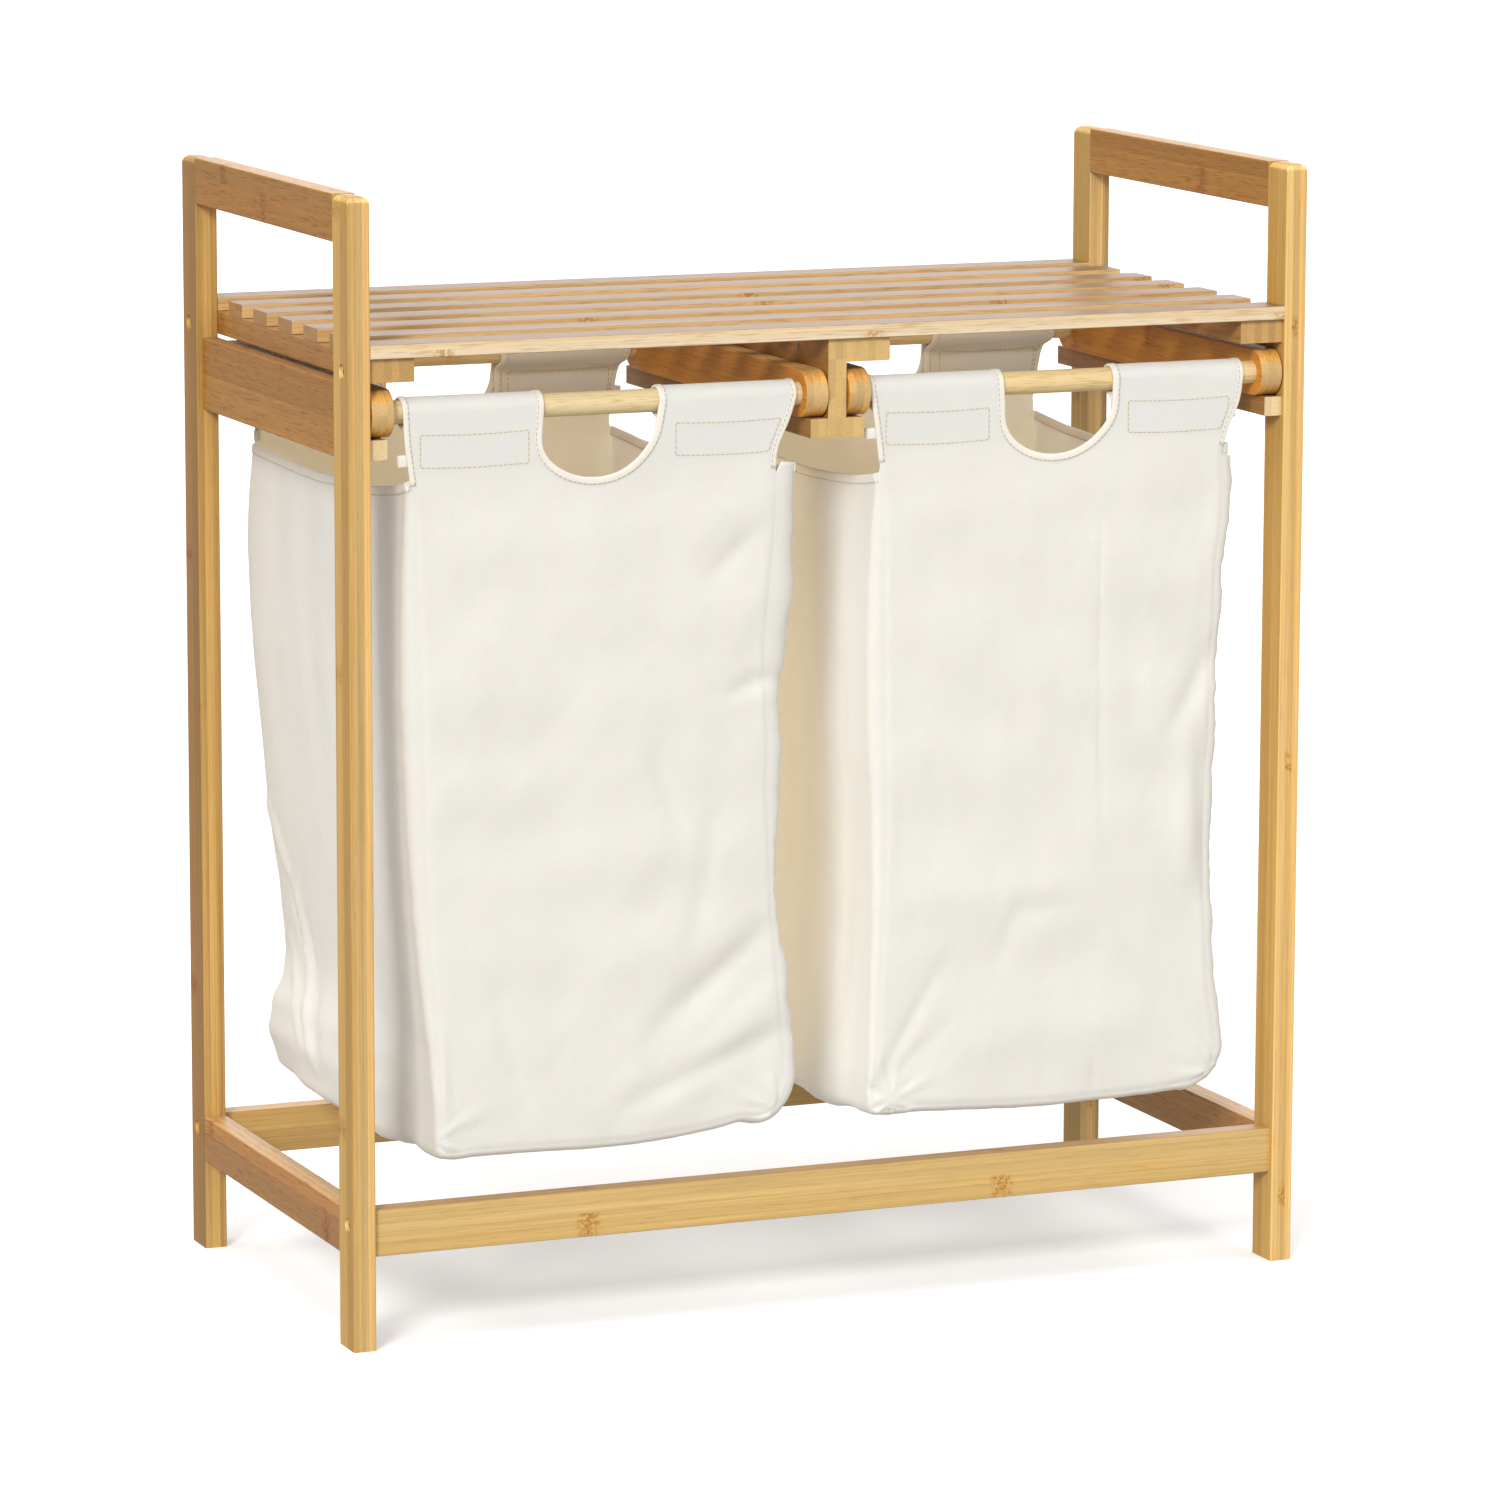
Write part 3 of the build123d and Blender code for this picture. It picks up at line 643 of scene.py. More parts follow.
BAGS = {
    "left": {
        "seam_l": [(594, -0.3), (575, 0.7), (553, 3.7), (528, 6.3), (478, 8.7), (400, 10.7), (350, 12.1), (255, 15.3),
            (191, 19.2), (153, 21.5), (118, 22.7)],
        "seam_r": [(594, 0), (580, -4.5), (561, -12.8), (530, -13.2), (504, -14.6), (472, -17.9), (434, -21.2),
            (402, -20), (369, -18.9), (337, -19.5), (311, -17.9), (278, -16.5), (252, -14.4), (226, -12.2),
            (200, -9.9), (173, -7.1), (150, -5.3), (118, -4.4)],
        "rear_l": [(594, 3), (560, 4.3), (543, 4.7), (511, 4.6), (479, 5.4), (447, 7.8), (404, 10.8), (371, 13.7),
            (339, 16), (296, 18.4), (263, 21.3), (230, 24.2), (208, 25.9), (195, 26), (187, 24.5), (176, 20.7),
            (166, 15.4), (155, 13.5), (144, 11.6), (133, 14.7), (118, 18.9)],
        "rear_r": [(594, 0), (546, -9), (400, -17), (250, -19), (150, -9), (118, -8)],
        "round_fl": [(560, 0.5), (546, 2.5), (118, 3)],
        "round_fr": [(562, 0.5), (550, 14), (523, 15), (484, 18), (465, 20), (440, 20), (420, 16), (398, 10),
                     (375, 12), (343, 12), (324, 10), (307, 7), (280, 5), (252, 6), (226, 7.5), (200, 8),
                     (166, 9), (146, 8.5), (118, 5)],
        "round_r": [(560, 0.5), (546, 2.5), (118, 2.5)],
        "floor": [(-132, 1), (-100, 3.5), (-40, 4.5), (10, 3.5), (60, 6.5), (84, 9.5), (96, 11.5), (104, 10.5),
            (114, 9.5), (124, 11), (132, 14)],
        "hem": [(0, 553), (0.08, 547.5), (0.2, 542), (0.35, 539), (0.6, 537), (0.8, 537.5), (1, 540.5)],
        "bow": 9.0,
        "folds": [
            ((-53, 246, -115, 196), 9, -3.4), ((-45, 205, -100, 160), 15, 2.6), ((-43, 181, -135, 146), 8, -2.8),
            ((-84, 320, -96, 255), 9, -1.8), ((-124, 364, -108, 320), 6, -1.4), ((-85, 482, -55, 508), 6, -1.4),
            ((-70, 407, -45, 414), 6, -2.4), ((-268, 196, -266, 140), 4, 1.2), ((-240, 430, -180, 380), 30, 1.0),
            ((-200, 300, -170, 200), 28, -1.0), ((-230, 215, -216, 150), 7, -0.9),
        ],
        "wall_folds": [
            ((140, 298, 114, 237), 3.4, 2.6), ((114, 237, 107, 205), 3.0, 3.2), ((107, 205, 90, 175), 3.0, 3.2),
            ((90, 175, 65, 140), 3.2, 2.8), ((134, 206, 124, 188), 2.6, 2.2), ((124, 188, 107, 169), 2.6, 2.6),
            ((107, 169, 86, 149), 2.6, 2.4), ((120, 250, 113, 205), 4.2, -2.2), ((100, 225, 92, 195), 6, -1.8),
            ((84, 190, 60, 150), 6, -1.6), ((60, 520, 66, 380), 14, 1.4), ((-20, 520, -10, 300), 18, -1.4),
            ((106, 122, 42, 122), 5, 1.2), ((20, 330, 30, 210), 14, 1.0),
        ],
        "tabs": [(("front", 562, False), (-1, 0.25, 0), (5.5, 7.5, 1.6)),
            (("rear", 541, False), (-0.5, -1, 0), (4, 7, 1.4)),
            (("rear", 562, True), (1, -0.2, 0), (4, 7, 1.4))],
        "seed": 5,
    },
    "right": {
        "seam_l": [(594, 0), (575, 2.9), (546, 6.7), (526, 8.2), (488, 9.4), (430, 10.4), (365, 11.4), (319, 12.4),
            (267, 11.1), (234, 9.7), (201, 7.8), (168, 6.2), (135, 4.3), (118, 4.2)],
        "seam_r": [(594, 0), (575, -3.4), (560, -10.2), (546, -14), (520, -12.7), (490, -15), (471, -17.7),
            (440, -18.4), (400, -20.3), (355, -22), (305, -23.2), (270, -23.2), (237, -22.2), (205, -20.7),
            (183, -19), (161, -15.3), (145, -13.1), (118, -12.5)],
        "rear_l": [(594, 2), (546, 8), (400, 13), (250, 15), (150, 9), (118, 8)],
        "rear_r": [(594, -2), (546, -10.4), (400, -20.9), (250, -24.3), (150, -15.2), (118, -14.5)],
        "round_fl": [(560, 0.5), (546, 2.2), (118, 2.8)],
        "round_fr": [(562, 0.5), (548, 7), (500, 7.5), (450, 6.5), (350, 7), (250, 7.5), (160, 7.5), (118, 6)],
        "round_r": [(560, 0.5), (546, 2.5), (118, 2.5)],
        "floor": [(-132, 6), (-100, 8), (-60, 7), (-20, 5), (0, 4.5), (30, 5), (70, 6), (132, 9)],
        "hem": [(0, 543), (0.12, 537), (0.3, 533), (0.5, 531), (0.75, 532), (1, 537)],
        "bow": 8.0,
        "folds": [
            ((186, 388, 189, 290), 2.2, -0.7), ((160, 385, 184, 343), 9, -1.7), ((207, 410, 214, 356), 11, -1.2),
            ((268, 413, 245, 371), 8, -2.8), ((250, 363, 250, 275), 9, 2.8), ((262, 337, 266, 252), 6, -2.2),
            ((118, 222, 129, 250), 7, -1.3), ((129, 250, 163, 252), 7, -1.3), ((26, 132, 73, 213), 5, -1.6),
            ((26, 132, 76, 175), 6, -1.4), ((214, 206, 246, 160), 9, -1.4), ((185, 142, 187, 128), 3, -1.0),
            ((150, 145, 153, 128), 4, -0.8), ((60, 460, 110, 420), 26, 1.0), ((90, 330, 80, 230), 30, -0.9),
            ((186, 500, 186, 390), 2.0, -0.5),
        ],
        "wall_folds": [
            ((-60, 480, -70, 250), 16, 1.6), ((20, 520, 10, 260), 22, -1.8), ((-110, 400, -100, 200), 12, -0.9),
        ],
        "tabs": [(("front", 563, False), (-1, 0.25, 0), (6.5, 7.0, 1.6)),
            (("front", 568, True), (1, 0.2, 0), (2.5, 5, 1.2)),
            (("front", 541, True), (1, 0.15, 0), (5.5, 8.0, 1.8)),
            (("rear", 561, False), (-1, -0.2, 0), (4, 7, 1.4))],
        "seed": 9,
    },
}


def fold_height(x, z, folds):
    """Ridges (above 0) and valleys (below 0) that run along short lines on a panel."""
    total = np.zeros_like(x)
    for (x0, z0, x1, z1), width, height in folds:
        dx, dz = x1 - x0, z1 - z0
        length = math.hypot(dx, dz)
        t = ((x - x0) * dx + (z - z0) * dz) / length**2
        away = np.abs((x - x0) * dz - (z - z0) * dx) / length
        beyond = np.maximum(np.abs(t - 0.5) - 0.5, 0) * length
        ends = np.exp(-((beyond / (width * 1.6)) ** 2))
        taper = 0.55 + 0.45 * np.sin(np.clip(t, 0, 1) * math.pi)
        total += height * ends * taper * np.exp(-((away / width) ** 2))
    return total


def corner_puckers(x, z, edges, seed):
    """Small gathers that fan out from the two bottom corners of a panel."""
    total = np.zeros_like(x)
    random = np.random.default_rng(seed)
    for corner_x, sign in edges:
        dx, dz = (x - corner_x) * sign, z - FLOOR_Z - 14
        radius = np.hypot(dx, dz)
        angle = np.arctan2(dz, dx)
        reach = np.exp(-radius / 20.0) * smooth01(radius, 2, 9)
        total += 1.1 * reach * np.sin(angle * 7 + random.uniform(0, 6)) + 0.8 * reach * np.sin(angle * 13 + 2)
    return total


def panel_rows():
    corner = FLOOR_Z + CORNER_ROWS_Z * (1 - np.cos(np.linspace(0, math.pi / 2, 16)))
    body = np.linspace(FLOOR_Z + CORNER_ROWS_Z, CUT_Z, 140)[1:]
    top = np.linspace(CUT_Z, AXIS_Z, 6)[1:]
    return np.concatenate((corner, body, top)), len(corner) + len(body) - 1


def panel_columns():
    strap = HALF - (HALF - STRAP_IN) * np.linspace(0, 1, 34) ** 1.3
    gap = STRAP_IN * np.cos(np.linspace(0, math.pi / 2, 18))[1:]
    right = np.concatenate((strap, gap))
    return np.concatenate((-right, right[::-1][1:])), len(strap) - 1


ROWS, CUT_ROW = panel_rows()
COLUMNS, STRAP_COLUMN = panel_columns()


def sleeve_path():
    """The cloth's outside as (depth outward from the dowel, height), from the front of the dowel over it,
    down behind it and back to the strap."""
    points, steps = [], 26
    turn = math.radians(STRAP_TURN)
    for i in range(1, steps + 1):
        a = math.pi - turn * i / steps
        points.append((-math.cos(a) * SLEEVE_R, AXIS_Z + math.sin(a) * SLEEVE_R))
    last = points[-1]
    end = SLEEVE_R - FLAP_GAP
    for i in range(1, 7):
        t = i / 6
        bend = t * t * (3 - 2 * t)
        points.append((last[0] + (end - last[0]) * bend, last[1] + (FLAP_TOP_Z - last[1]) * t))
    for z in np.linspace(FLAP_TOP_Z, FLAP_END_Z, 9)[1:]:
        points.append((end, z))
    return points


def build_panel(bag, cx, y_plane, outward, edges, flip_folds):
    """Points of a panel grid [row, column] with its straps, and a mask of the ones that are cloth."""
    seam_l, seam_r = table(edges[0]), table(edges[1])
    sag = table(bag["floor"])
    grid_x = np.repeat(COLUMNS[None], len(ROWS), 0)
    grid_z = np.repeat(ROWS[:, None], len(COLUMNS), 1)

    # the rows under the cut-out are squeezed down to its curve
    inside = np.abs(COLUMNS) < STRAP_IN - 1e-6
    curve = CUT_Z - CUT_RISE * np.sqrt(np.clip(1 - (COLUMNS / STRAP_IN) ** 2, 0, 1))
    squeeze = (curve[None] - SQUEEZE_Z) / (CUT_Z - SQUEEZE_Z)
    ideal_z = np.where((grid_z > SQUEEZE_Z) & inside[None], SQUEEZE_Z + (grid_z - SQUEEZE_Z) * squeeze, grid_z)

    # round bottom corners
    x = grid_x.copy()
    for sign, radius in ((-1, LEFT_CORNER_R), (1, RIGHT_CORNER_R)):
        rise = np.clip(FLOOR_Z + radius - grid_z, 0, radius)
        half = HALF - radius + np.sqrt(np.clip(radius**2 - rise**2, 0, None))
        x = np.where(grid_x * sign > 0, grid_x * half / HALF, x)

    left, right = -HALF + seam_l(ideal_z), HALF + seam_r(ideal_z)
    mid, span = (left + right) / 2, (right - left) / 2
    x = mid + x / HALF * span
    low_weight = 1 - smooth01(ideal_z, FLOOR_Z, 230)
    z = ideal_z + sag(x) * low_weight - 1.5 * np.cos(np.clip(x / HALF, -1, 1) * math.pi / 2) * low_weight

    px = cx + x
    fx = -px + 2 * cx if flip_folds else px
    body = 1 - smooth01(ideal_z, 520, 570)
    edge_fade = smooth01(HALF - np.abs(grid_x), 0, 16)
    broad = 4.2 * np.cos(np.clip(x / HALF, -1, 1) * math.pi / 2) * np.sin(
        np.clip((ideal_z - FLOOR_Z) / (560 - FLOOR_Z), 0, 1) * math.pi
    ) ** 0.7
    bulge = broad * body + fold_height(fx, z, bag["folds"]) * body
    bulge += corner_puckers(x, z, ((-HALF + 17, 1), (HALF - 12, -1)), bag["seed"]) * body
    points = np.stack([px, np.zeros_like(px), z], -1)
    soft = Ripple(bag["seed"] + (7 if flip_folds else 0)).layer(75, 0.75).layer(30, 0.16).layer(12, 0.05)
    bulge += soft(points) * (0.25 + 0.75 * body) * (0.35 + 0.65 * edge_fade)
    # a shallow groove beside the seams, where the stitching pulls the cloth in
    groove = np.exp(-((HALF - np.abs(grid_x)) / 2.6) ** 2) + np.exp(-((ideal_z - FLOOR_Z) / 2.6) ** 2)
    bulge -= 1.0 * np.minimum(groove, 1) * body
    points[..., 1] = y_plane + outward * bulge

    # the straps go on over the dowel
    rows = [points]
    for depth, height in sleeve_path():
        row = points[-1].copy()
        wave = soft(np.stack([row[:, 0], np.full(len(row), depth * 3), np.full(len(row), height)], -1)) * 0.25
        drop = AXIS_Z - height
        if drop > 0:
            left, right = -HALF + float(seam_l(height)) + 1.5, HALF + float(seam_r(height)) - 1.5
            ease = min(1.0, drop / 18)
            narrow = (left + right) / 2 + COLUMNS / HALF * (right - left) / 2
            reach = smooth01(np.abs(COLUMNS), STRAP_IN, HALF) * ease
            row[:, 0] += (cx + narrow - row[:, 0]) * reach
        row[:, 1] = y_plane - outward * (SLEEVE_R - depth)
        row[:, 2] = height + wave * (1 if height < 590 else 0)
        rows.append(row[None])
    points = np.concatenate(rows)
    solid = np.ones(points.shape[:2], bool)
    solid[CUT_ROW + 1:, STRAP_COLUMN + 1:len(COLUMNS) - STRAP_COLUMN - 1] = False
    return points, solid


HEM_ROW = int(np.argmin(np.abs(ROWS - HEM_Z)))
ROUND_STEPS = 7
HOOK_OUTLINE = ((-36, 559.5), (36, 559.5), (36, 580), (-36, 580), (-36, 559.5))
HEM_SKIP = 5            # the side hems stop this many columns short of the corner seams


def build_gusset(bag, front, rear, seed):
    """The strip of cloth between the two panels, as [along the seam, across the depth]."""
    def rim(points):
        left = points[HEM_ROW::-1, 0]
        bottom = points[0, 1:-1]
        right = points[:HEM_ROW + 1, -1]
        return np.concatenate((left, bottom, right))

    f, r = rim(front), rim(rear)
    count = len(f)
    tangent = np.gradient((f + r)[:, [0, 2]] / 2, axis=0)
    normal = unit(np.stack([tangent[:, 1], -tangent[:, 0]], -1))
    centre = ((f + r) / 2)[:, [0, 2]].mean(0)
    if (((f + r)[:, [0, 2]] / 2 - centre) * normal).sum() < 0:
        normal = -normal
    outward = np.stack([normal[:, 0], np.zeros(count), normal[:, 1]], -1)

    ideal_z = np.concatenate((ROWS[HEM_ROW::-1], np.full(len(COLUMNS) - 2, FLOOR_Z), ROWS[:HEM_ROW + 1]))
    left_side = np.arange(count) <= HEM_ROW
    right_side = np.arange(count) >= count - HEM_ROW - 1
    side_weight = np.clip(np.abs(normal[:, 0]), 0, 1)
    f_round = np.where(left_side, table(bag["round_fl"])(ideal_z), table(bag["round_fr"])(ideal_z))
    f_round = np.where(left_side | right_side, f_round, 5.5)
    # ease the change along the floor
    kernel = np.ones(9) / 9
    padded = np.concatenate((np.full(4, f_round[0]), f_round, np.full(4, f_round[-1])))
    f_round = np.convolve(padded, kernel, "valid")
    r_round = np.where(left_side | right_side, table(bag["round_r"])(ideal_z), 5.0)

    wave = Ripple(seed).layer(30, 0.55, 10).layer(13, 0.30, 10)
    f_round = f_round + wave(f) * np.where(right_side, 1.0, 0.25) * smooth01(f_round, 1, 5)

    theta = np.linspace(0, math.pi / 2, ROUND_STEPS + 1)
    cols = []
    depth_f = 3.0 + 0.45 * f_round + 9.0 * (1 - side_weight)
    depth_r = 3.0 + 0.45 * r_round + 9.0 * (1 - side_weight)
    y0, y1 = f[:, 1], r[:, 1]
    inner = np.linspace(0, 1, 92)
    height = np.clip((ideal_z - FLOOR_Z) / (HEM_Z - FLOOR_Z), 0, 1)
    bow_in = bag["bow"] * np.sin(height * math.pi) ** 0.8 * side_weight + 2.5 * side_weight * height
    sag_down = 3.0 * (1 - side_weight) ** 1.5
    soft = Ripple(seed + 3).layer(90, 1.0, 10, (1, 1, 2.6)).layer(34, 0.30, 12, (1, 1, 2.4)).layer(12, 0.08)
    hem_z = table(bag["hem"])
    near_hem = smooth01(ideal_z, 430, 548) * (side_weight > 0.5)
    low_down = 1 - smooth01(ideal_z, FLOOR_Z, 190)

    def column(base, push, y, t):
        p = base + outward * push[:, None]
        p[:, 1] = y
        ripple = soft(p) * min(1.0, 6 * t, 6 * (1 - t))
        ripple = ripple + fold_height(p[:, 1], p[:, 2], bag["wall_folds"]) * left_side
        p = p + outward * ripple[:, None]
        p[:, 2] += (hem_z(t) - HEM_Z) * near_hem - BELLY * math.sin(math.pi * t) * low_down
        return p

    start_t = float(depth_f.mean() / (REAR_Y - FRONT_Y))
    end_t = 1 - float(depth_r.mean() / (REAR_Y - FRONT_Y))
    for a in theta[:-1]:
        back = 1 - math.cos(a)
        cols.append(column(f.copy(), f_round * math.sin(a), y0 + depth_f * back, start_t * back))
    for u in inner:
        t = start_t + (end_t - start_t) * u
        base = f + (r - f) * u
        push = f_round * (1 - u) + r_round * u
        bell = math.sin(math.pi * u) ** 0.85
        push = push - bow_in * bell + sag_down * bell
        y = (y0 + depth_f) * (1 - u) + (y1 - depth_r) * u
        cols.append(column(base, push, y, t))
    for a in theta[:-1][::-1]:
        back = 1 - math.cos(a)
        cols.append(column(r.copy(), r_round * math.sin(a), y1 - depth_r * back, 1 - (1 - end_t) * back))
    grid = np.stack(cols, 1)
    grid[:, 0], grid[:, -1] = f, r
    return grid


def build_bag(side):
    bag = BAGS[side]
    cx = middle(f"{side}_bag_gusset", "X")
    body = f"{side}_sliding_frame"
    front, front_solid = build_panel(bag, cx, FRONT_Y, -1, (bag["seam_l"], bag["seam_r"]), False)
    rear, rear_solid = build_panel(bag, cx, REAR_Y, 1, (bag["rear_l"], bag["rear_r"]), True)
    strip = build_gusset(bag, front, rear, bag["seed"] + 20)

    vertices, faces = [], []

    def add_grid(points, solid, ids):
        """Adds the solid points that have no number in ids yet."""
        for i, j in zip(*np.nonzero(solid & (ids < 0))):
            ids[i, j] = len(vertices)
            vertices.append(points[i, j])
        return ids

    def add_faces(ids, flip):
        for i in range(ids.shape[0] - 1):
            for j in range(ids.shape[1] - 1):
                quad = [ids[i, j], ids[i, j + 1], ids[i + 1, j + 1], ids[i + 1, j]]
                if min(quad) >= 0:
                    faces.append(tuple(quad[::-1] if flip else quad))

    ids_f = add_grid(front, front_solid, np.full(front.shape[:2], -1))
    ids_r = add_grid(rear, rear_solid, np.full(rear.shape[:2], -1))
    add_faces(ids_f, False)
    add_faces(ids_r, True)

    def rim_ids(ids):
        return np.concatenate((ids[HEM_ROW::-1, 0], ids[0, 1:-1], ids[:HEM_ROW + 1, -1]))

    known = np.full(strip.shape[:2], -1, int)
    known[:, 0], known[:, -1] = rim_ids(ids_f), rim_ids(ids_r)
    ids_g = add_grid(strip, True, known)
    add_faces(ids_g, True)

    shell = new_piece(f"{side}_bag", vertices, faces, CLOTH_MATERIAL, body)
    fronts = [f for f in shell.data.polygons if f.center.y < (FRONT_Y + 3) * MM]
    if sum(f.normal.y * f.area for f in fronts) > 0:
        shell.data.flip_normals()
    thick = shell.modifiers.new("thickness", "SOLIDIFY")
    thick.thickness = CLOTH * MM
    thick.offset = -1.0
    thick.use_even_offset = False
    thick.material_offset = 1
    # the inner faces take the inside cloth, whose lighter, warmer tone and glow are painted light
    shell.data.materials.append(INSIDE_GLOW_MATERIAL)
    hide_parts(f"{side}_bag_front_panel", f"{side}_bag_rear_panel", f"{side}_bag_gusset")

    # surface normals of each grid, pointing out of the bag
    def grid_normals(points, sign):
        return unit(np.cross(np.gradient(points, axis=0), np.gradient(points, axis=1))) * sign

    normals = {"front": grid_normals(front, 1), "rear": grid_normals(rear, -1), "gusset": grid_normals(strip, 1)}
    for key, grid in (("front", front), ("rear", rear), ("gusset", strip)):
        probe = (30, grid.shape[1] // 3) if key != "gusset" else (30, 40)
        centre = np.array([cx, -5.0, 330.0])
        if (normals[key][probe] * (grid[probe] - centre)).sum() < 0:
            normals[key] = -normals[key]

    bands, rows = [], []
    last_row = front.shape[0] - 1
    n_col = len(COLUMNS)

    def edge_band(path, inward, normal, width, thickness):
        path, inward, normal = resample(path, inward, normal, pitch=2.5)
        tangent = unit(np.gradient(path, axis=0))
        inward = unit(inward - tangent * (inward * tangent).sum(-1, keepdims=True))
        across = np.cross(tangent, inward)
        normal = unit(across) * np.sign((across * normal).sum(-1, keepdims=True))
        centre = path - normal * CLOTH / 2 - inward * 0.4
        bands.append(sweep(centre, inward, normal, flat_profile(width, thickness)))
        line = centre + inward * (width - 0.9) + normal * (thickness / 2)
        rows.append(stitches(line, normal, 0.05))
        back = centre + inward * (width - 0.9) - normal * (thickness / 2)
        rows.append(stitches(back, -normal, 0.05))

    for key, grid, plane, out in (("front", front, FRONT_Y, -1), ("rear", rear, REAR_Y, 1)):
        n = normals[key]
        # the cut-out's binding: down one strap's inner edge, round the curve and up the other
        a, b = STRAP_COLUMN, n_col - 1 - STRAP_COLUMN
        down = [(i, a) for i in range(last_row, CUT_ROW, -1)]
        curve = [(CUT_ROW, j) for j in range(a, b + 1)]
        up = [(i, b) for i in range(CUT_ROW + 1, last_row + 1)]
        cells = down + curve + up
        path = np.array([grid[c] for c in cells])
        normal = np.array([n[c] for c in cells])
        for k, c in enumerate(cells):
            # past the cut-out the grid's own normal needs the strap side only
            col = c[1] - 1 if c[1] == a else c[1] + 1
            if c[0] > CUT_ROW:
                normal[k] = n[c[0], col]
        tangent = np.gradient(path, axis=0)
        inward = np.cross(tangent, normal)
        probe = grid[40, n_col // 2] - path[len(path) // 2]
        if (inward[len(path) // 2] * probe).sum() < 0:
            inward = -inward
        edge_band(path, inward, normal, 5.2, 2.1)
        # the straps' outer edges
        for col, step in ((0, 1), (n_col - 1, -1)):
            cells = [(i, col) for i in range(HEM_ROW + 1, last_row + 1)]
            path = np.array([grid[c] for c in cells])
            normal = np.array([n[c] for c in cells])
            inward = np.array([grid[i, col + step] - grid[i, col] for i, _ in cells])
            edge_band(path, inward, normal, 4.2, 1.9)
        # flap ends
        for c0, c1 in ((0, a), (b, n_col - 1)):
            cells = [(last_row, j) for j in range(c0, c1 + 1)]
            path = np.array([grid[c] for c in cells])
            normal = np.array([n[c] for c in cells])
            inward = np.array([grid[last_row - 1, j] - grid[last_row, j] for _, j in cells])
            edge_band(path, inward, normal, 4.0, 1.9)

        # the stitched rectangles that hold the hook tape
        def on_panel(x, z):
            i = np.argmin(np.abs(grid[:CUT_ROW + 4, 3, 2] - z))
            row = grid[i]
            x = min(max(x, row[0, 0] + 6.0), row[-1, 0] - 6.0)
            j = int(np.argmin(np.abs(row[:, 0] - x)))
            return row[j] * np.array([0, 1, 0]) + np.array([x, 0, z]), n[i, j]

        for centre_x in (cx - STRAP_MID, cx + STRAP_MID):
            for (ax, az), (bx, bz) in zip(HOOK_OUTLINE, HOOK_OUTLINE[1:]):
                steps = np.linspace(0, 1, 14)
                path, normal = [], []
                for t in steps:
                    x, z = centre_x + ax + (bx - ax) * t, az + (bz - az) * t
                    if az == bz:
                        z -= 1.0 * math.sin(math.pi * t)
                    p, q = on_panel(x, z)
                    path.append(p)
                    normal.append(q)
                rows.append(stitches(path, normal))
                on_flap = np.array(path)
                on_flap[:, 1] = plane - out * FLAP_GAP
                rows.append(stitches(on_flap, np.tile([0.0, -out, 0.0], (len(on_flap), 1))))

    # the side walls' hems
    g = strip
    gn = normals["gusset"]
    for row, step in ((0, 1), (g.shape[0] - 1, -1)):
        span = slice(HEM_SKIP, -HEM_SKIP)
        path, normal, inward = g[row, span], gn[row, span], (g[row + step] - g[row])[span]
        edge_band(path, inward, normal, 6.5, 2.2)

    # small folded ends of cloth that stick out at the hem corners
    for (key, height, right_side), out, size in bag["tabs"]:
        grid = front if key == "front" else rear
        i = int(np.argmin(np.abs(grid[:CUT_ROW + 1, 3, 2] - height)))
        corner = grid[i, -1 if right_side else 0].copy()
        corner[1] += (1 if key == "front" else -1) * (FLAP_GAP - 0.8)
        bands.append(tab(corner, out, size))

    v, f = gather(bands)
    new_piece(f"{side}_bag_hems", v, f, HEM_MATERIAL, body)
    v, f = gather(rows)
    new_piece(f"{side}_bag_stitching", v, f, THREAD_MATERIAL, body)

    # hook tape between each flap and its panel
    tapes = []
    for y_plane, outward in ((FRONT_Y, -1), (REAR_Y, 1)):
        for centre_x in (cx - STRAP_MID, cx + STRAP_MID):
            xs = np.linspace(-33, 31, 24)
            path = np.stack([centre_x + xs, np.full(24, y_plane - outward * (CLOTH + 0.85)), np.full(24, 560.5)], -1)
            up = np.tile([0.0, 0, 1], (24, 1))
            out = np.tile([0.0, outward, 0], (24, 1))
            tapes.append(sweep(path, up, out, flat_profile(18.0, 1.5)))
    v, f = gather(tapes)
    tape = new_piece(f"{side}_bag_hook_tape", v, f, TAPE_MATERIAL, body)
    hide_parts(f"{side}_bag_hook_strips")


# The cloth and hems glow faintly through their emission (lit): painted light for light that shines through the cloth.
# The inside faces get a lighter, warmer tone and a stronger warm glow: painted light for the light bounced about
# inside the bag.
CLOTH_MATERIAL = cotton("cotton_cloth", (224, 220, 212), lit=0.012)
INSIDE_GLOW_MATERIAL = cotton("cotton_inside_painted_glow", (236, 230, 219), lit=0.065, painted_glow_tint=(1.0, 0.90, 0.76, 1))
HEM_MATERIAL = cotton("cotton_hem", (229, 224, 213), weave=0.0006, glow=0.25, lit=0.012)
THREAD_MATERIAL = cotton("cotton_thread", (204, 178, 140), weave=0.0004, speck=0.0)
TAPE_MATERIAL = hook_weave("hook_tape_weave")
for side in ("left", "right"):
    build_bag(side)


# -------------------- floor, light and camera

floor_mesh = bpy.data.meshes.new("studio_floor")
REACH = 60.0
corners = [(-REACH, -REACH, 0), (REACH, -REACH, 0), (REACH, REACH, 0), (-REACH, REACH, 0)]
floor_mesh.from_pydata(corners, [], [(0, 1, 2, 3)])
floor = bpy.data.objects.new("studio_floor", floor_mesh)
bpy.context.scene.collection.objects.link(floor)
floor_mesh.materials.append(Shader("studio_paper").finish(
    (0.80, 0.80, 0.80, 1), 0.9, Specular_IOR_Level=0.0, Emission_Color=(1, 1, 1, 1), Emission_Strength=0.27
))
floor.visible_diffuse = False
floor.visible_glossy = False

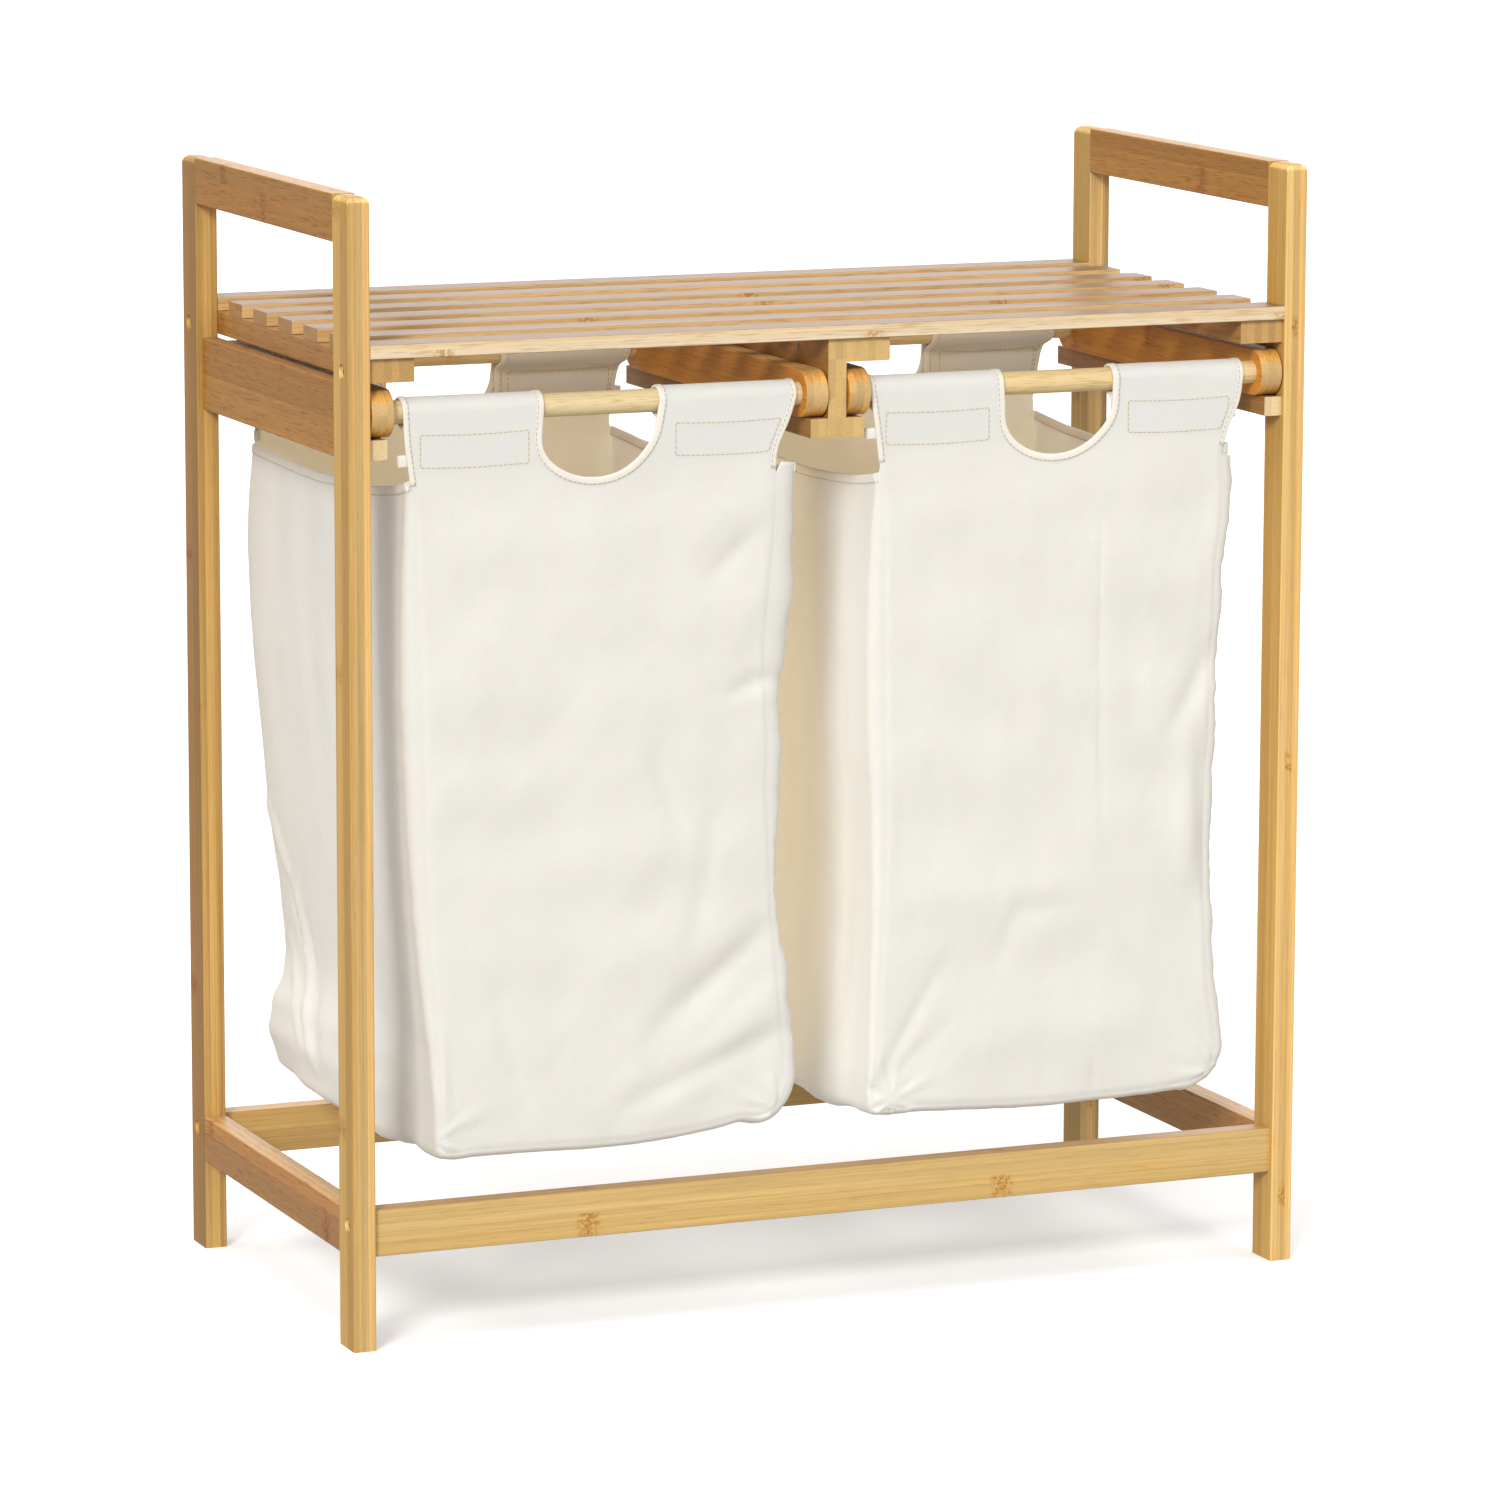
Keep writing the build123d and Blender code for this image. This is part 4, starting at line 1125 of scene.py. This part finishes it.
world = bpy.data.worlds.new("studio")
world.use_nodes = True
world.node_tree.nodes["Background"].inputs[0].default_value = (1.0, 1.0, 1.0, 1)
world.node_tree.nodes["Background"].inputs[1].default_value = 0.56
bpy.context.scene.world = world


def light_only(lamp, pieces):
    if pieces:
        lit = bpy.data.collections.new(lamp.name + "_lit")
        for each in pieces:
            lit.objects.link(each)
        lamp.light_linking.receiver_collection = lit


def sun(name, azimuth, elevation, strength, angle, only=None):
    """A soft sun. Azimuth 0 shines from the front, and above 0 from the right."""
    lamp = bpy.data.lights.new(name, "SUN")
    lamp.energy = strength * math.pi
    lamp.angle = math.radians(angle)
    o = bpy.data.objects.new(name, lamp)
    a, e = math.radians(azimuth), math.radians(elevation)
    source = Vector((math.sin(a) * math.cos(e), -math.cos(a) * math.cos(e), math.sin(e)))
    o.rotation_euler = source.to_track_quat("Z", "Y").to_euler()
    bpy.context.scene.collection.objects.link(o)
    light_only(o, only)


def glow_panel(name, place, facing, size, power, colour, only):
    """A small lamp that stands in for the light that the wood and cloth around it throw back."""
    lamp = bpy.data.lights.new(name, "AREA")
    lamp.shape = "RECTANGLE"
    lamp.size, lamp.size_y = size[0] * MM, size[1] * MM
    lamp.energy = power
    lamp.color = colour
    o = bpy.data.objects.new(name, lamp)
    o.location = Vector(place) * MM
    o.rotation_euler = (-Vector(facing)).to_track_quat("Z", "Y").to_euler()
    o.visible_camera = False
    bpy.context.scene.collection.objects.link(o)
    light_only(o, only)


sun("key", -40, 28, 0.72, 18)
sun("top", 180, 84, 0.50, 60)
sun("fill", 15, 15, 0.14, 60)
sun("back", 140, 8, 0.34, 60, [o for o in bpy.data.objects if o.type == "MESH" and o is not floor])
BAG_PIECES = [o for o in bpy.data.objects if "_bag" in o.name or "dowel" in o.name]
# the gap between the bags, and the space under the shelf
glow_panel("gap", (-8, 40, 340), (1, 0, 0), (180, 440), 0.12, (1.0, 0.79, 0.50), BAG_PIECES)
glow_panel("gap_front", (-8, -118, 340), (1, 0, 0), (70, 440), 0.036, (0.88, 0.95, 1.0), BAG_PIECES)
for side in ("left", "right"):
    glow_panel(f"under_{side}", (middle(f"{side}_bag_gusset", "X"), 25, 634), (0, 1, -0.15), (200, 16), 0.075,
               (1.0, 0.66, 0.30), BAG_PIECES)

# the camera, fitted to corners measured in the photograph
YAW, PITCH, ROLL = (math.radians(a) for a in (-22.607, -9.773, 0.161))
CAMERA_AT = (-1.7652, -4.2556, 1.1327)
FOCAL_PX, PHOTO_PX, SENSOR_MM = 7071.0, 1500.0, 36.0
turn = Matrix.Rotation(YAW, 3, "Z") @ Matrix.Rotation(PITCH, 3, "X")
right, ahead, up = turn.col[0], turn.col[1], turn.col[2]
cam_right = math.cos(ROLL) * right + math.sin(ROLL) * up
cam_up = -math.sin(ROLL) * right + math.cos(ROLL) * up
camera_data = bpy.data.cameras.new("camera")
camera_data.sensor_width = SENSOR_MM
camera_data.lens = FOCAL_PX / PHOTO_PX * SENSOR_MM
camera_data.clip_start, camera_data.clip_end = 0.1, 200.0
camera = bpy.data.objects.new("camera", camera_data)
matrix = Matrix((cam_right, cam_up, -ahead)).transposed().to_4x4()
matrix.translation = Vector(CAMERA_AT)
camera.matrix_world = matrix
bpy.context.scene.collection.objects.link(camera)
bpy.context.scene.camera = camera
bpy.context.scene.view_settings.view_transform = "Standard"
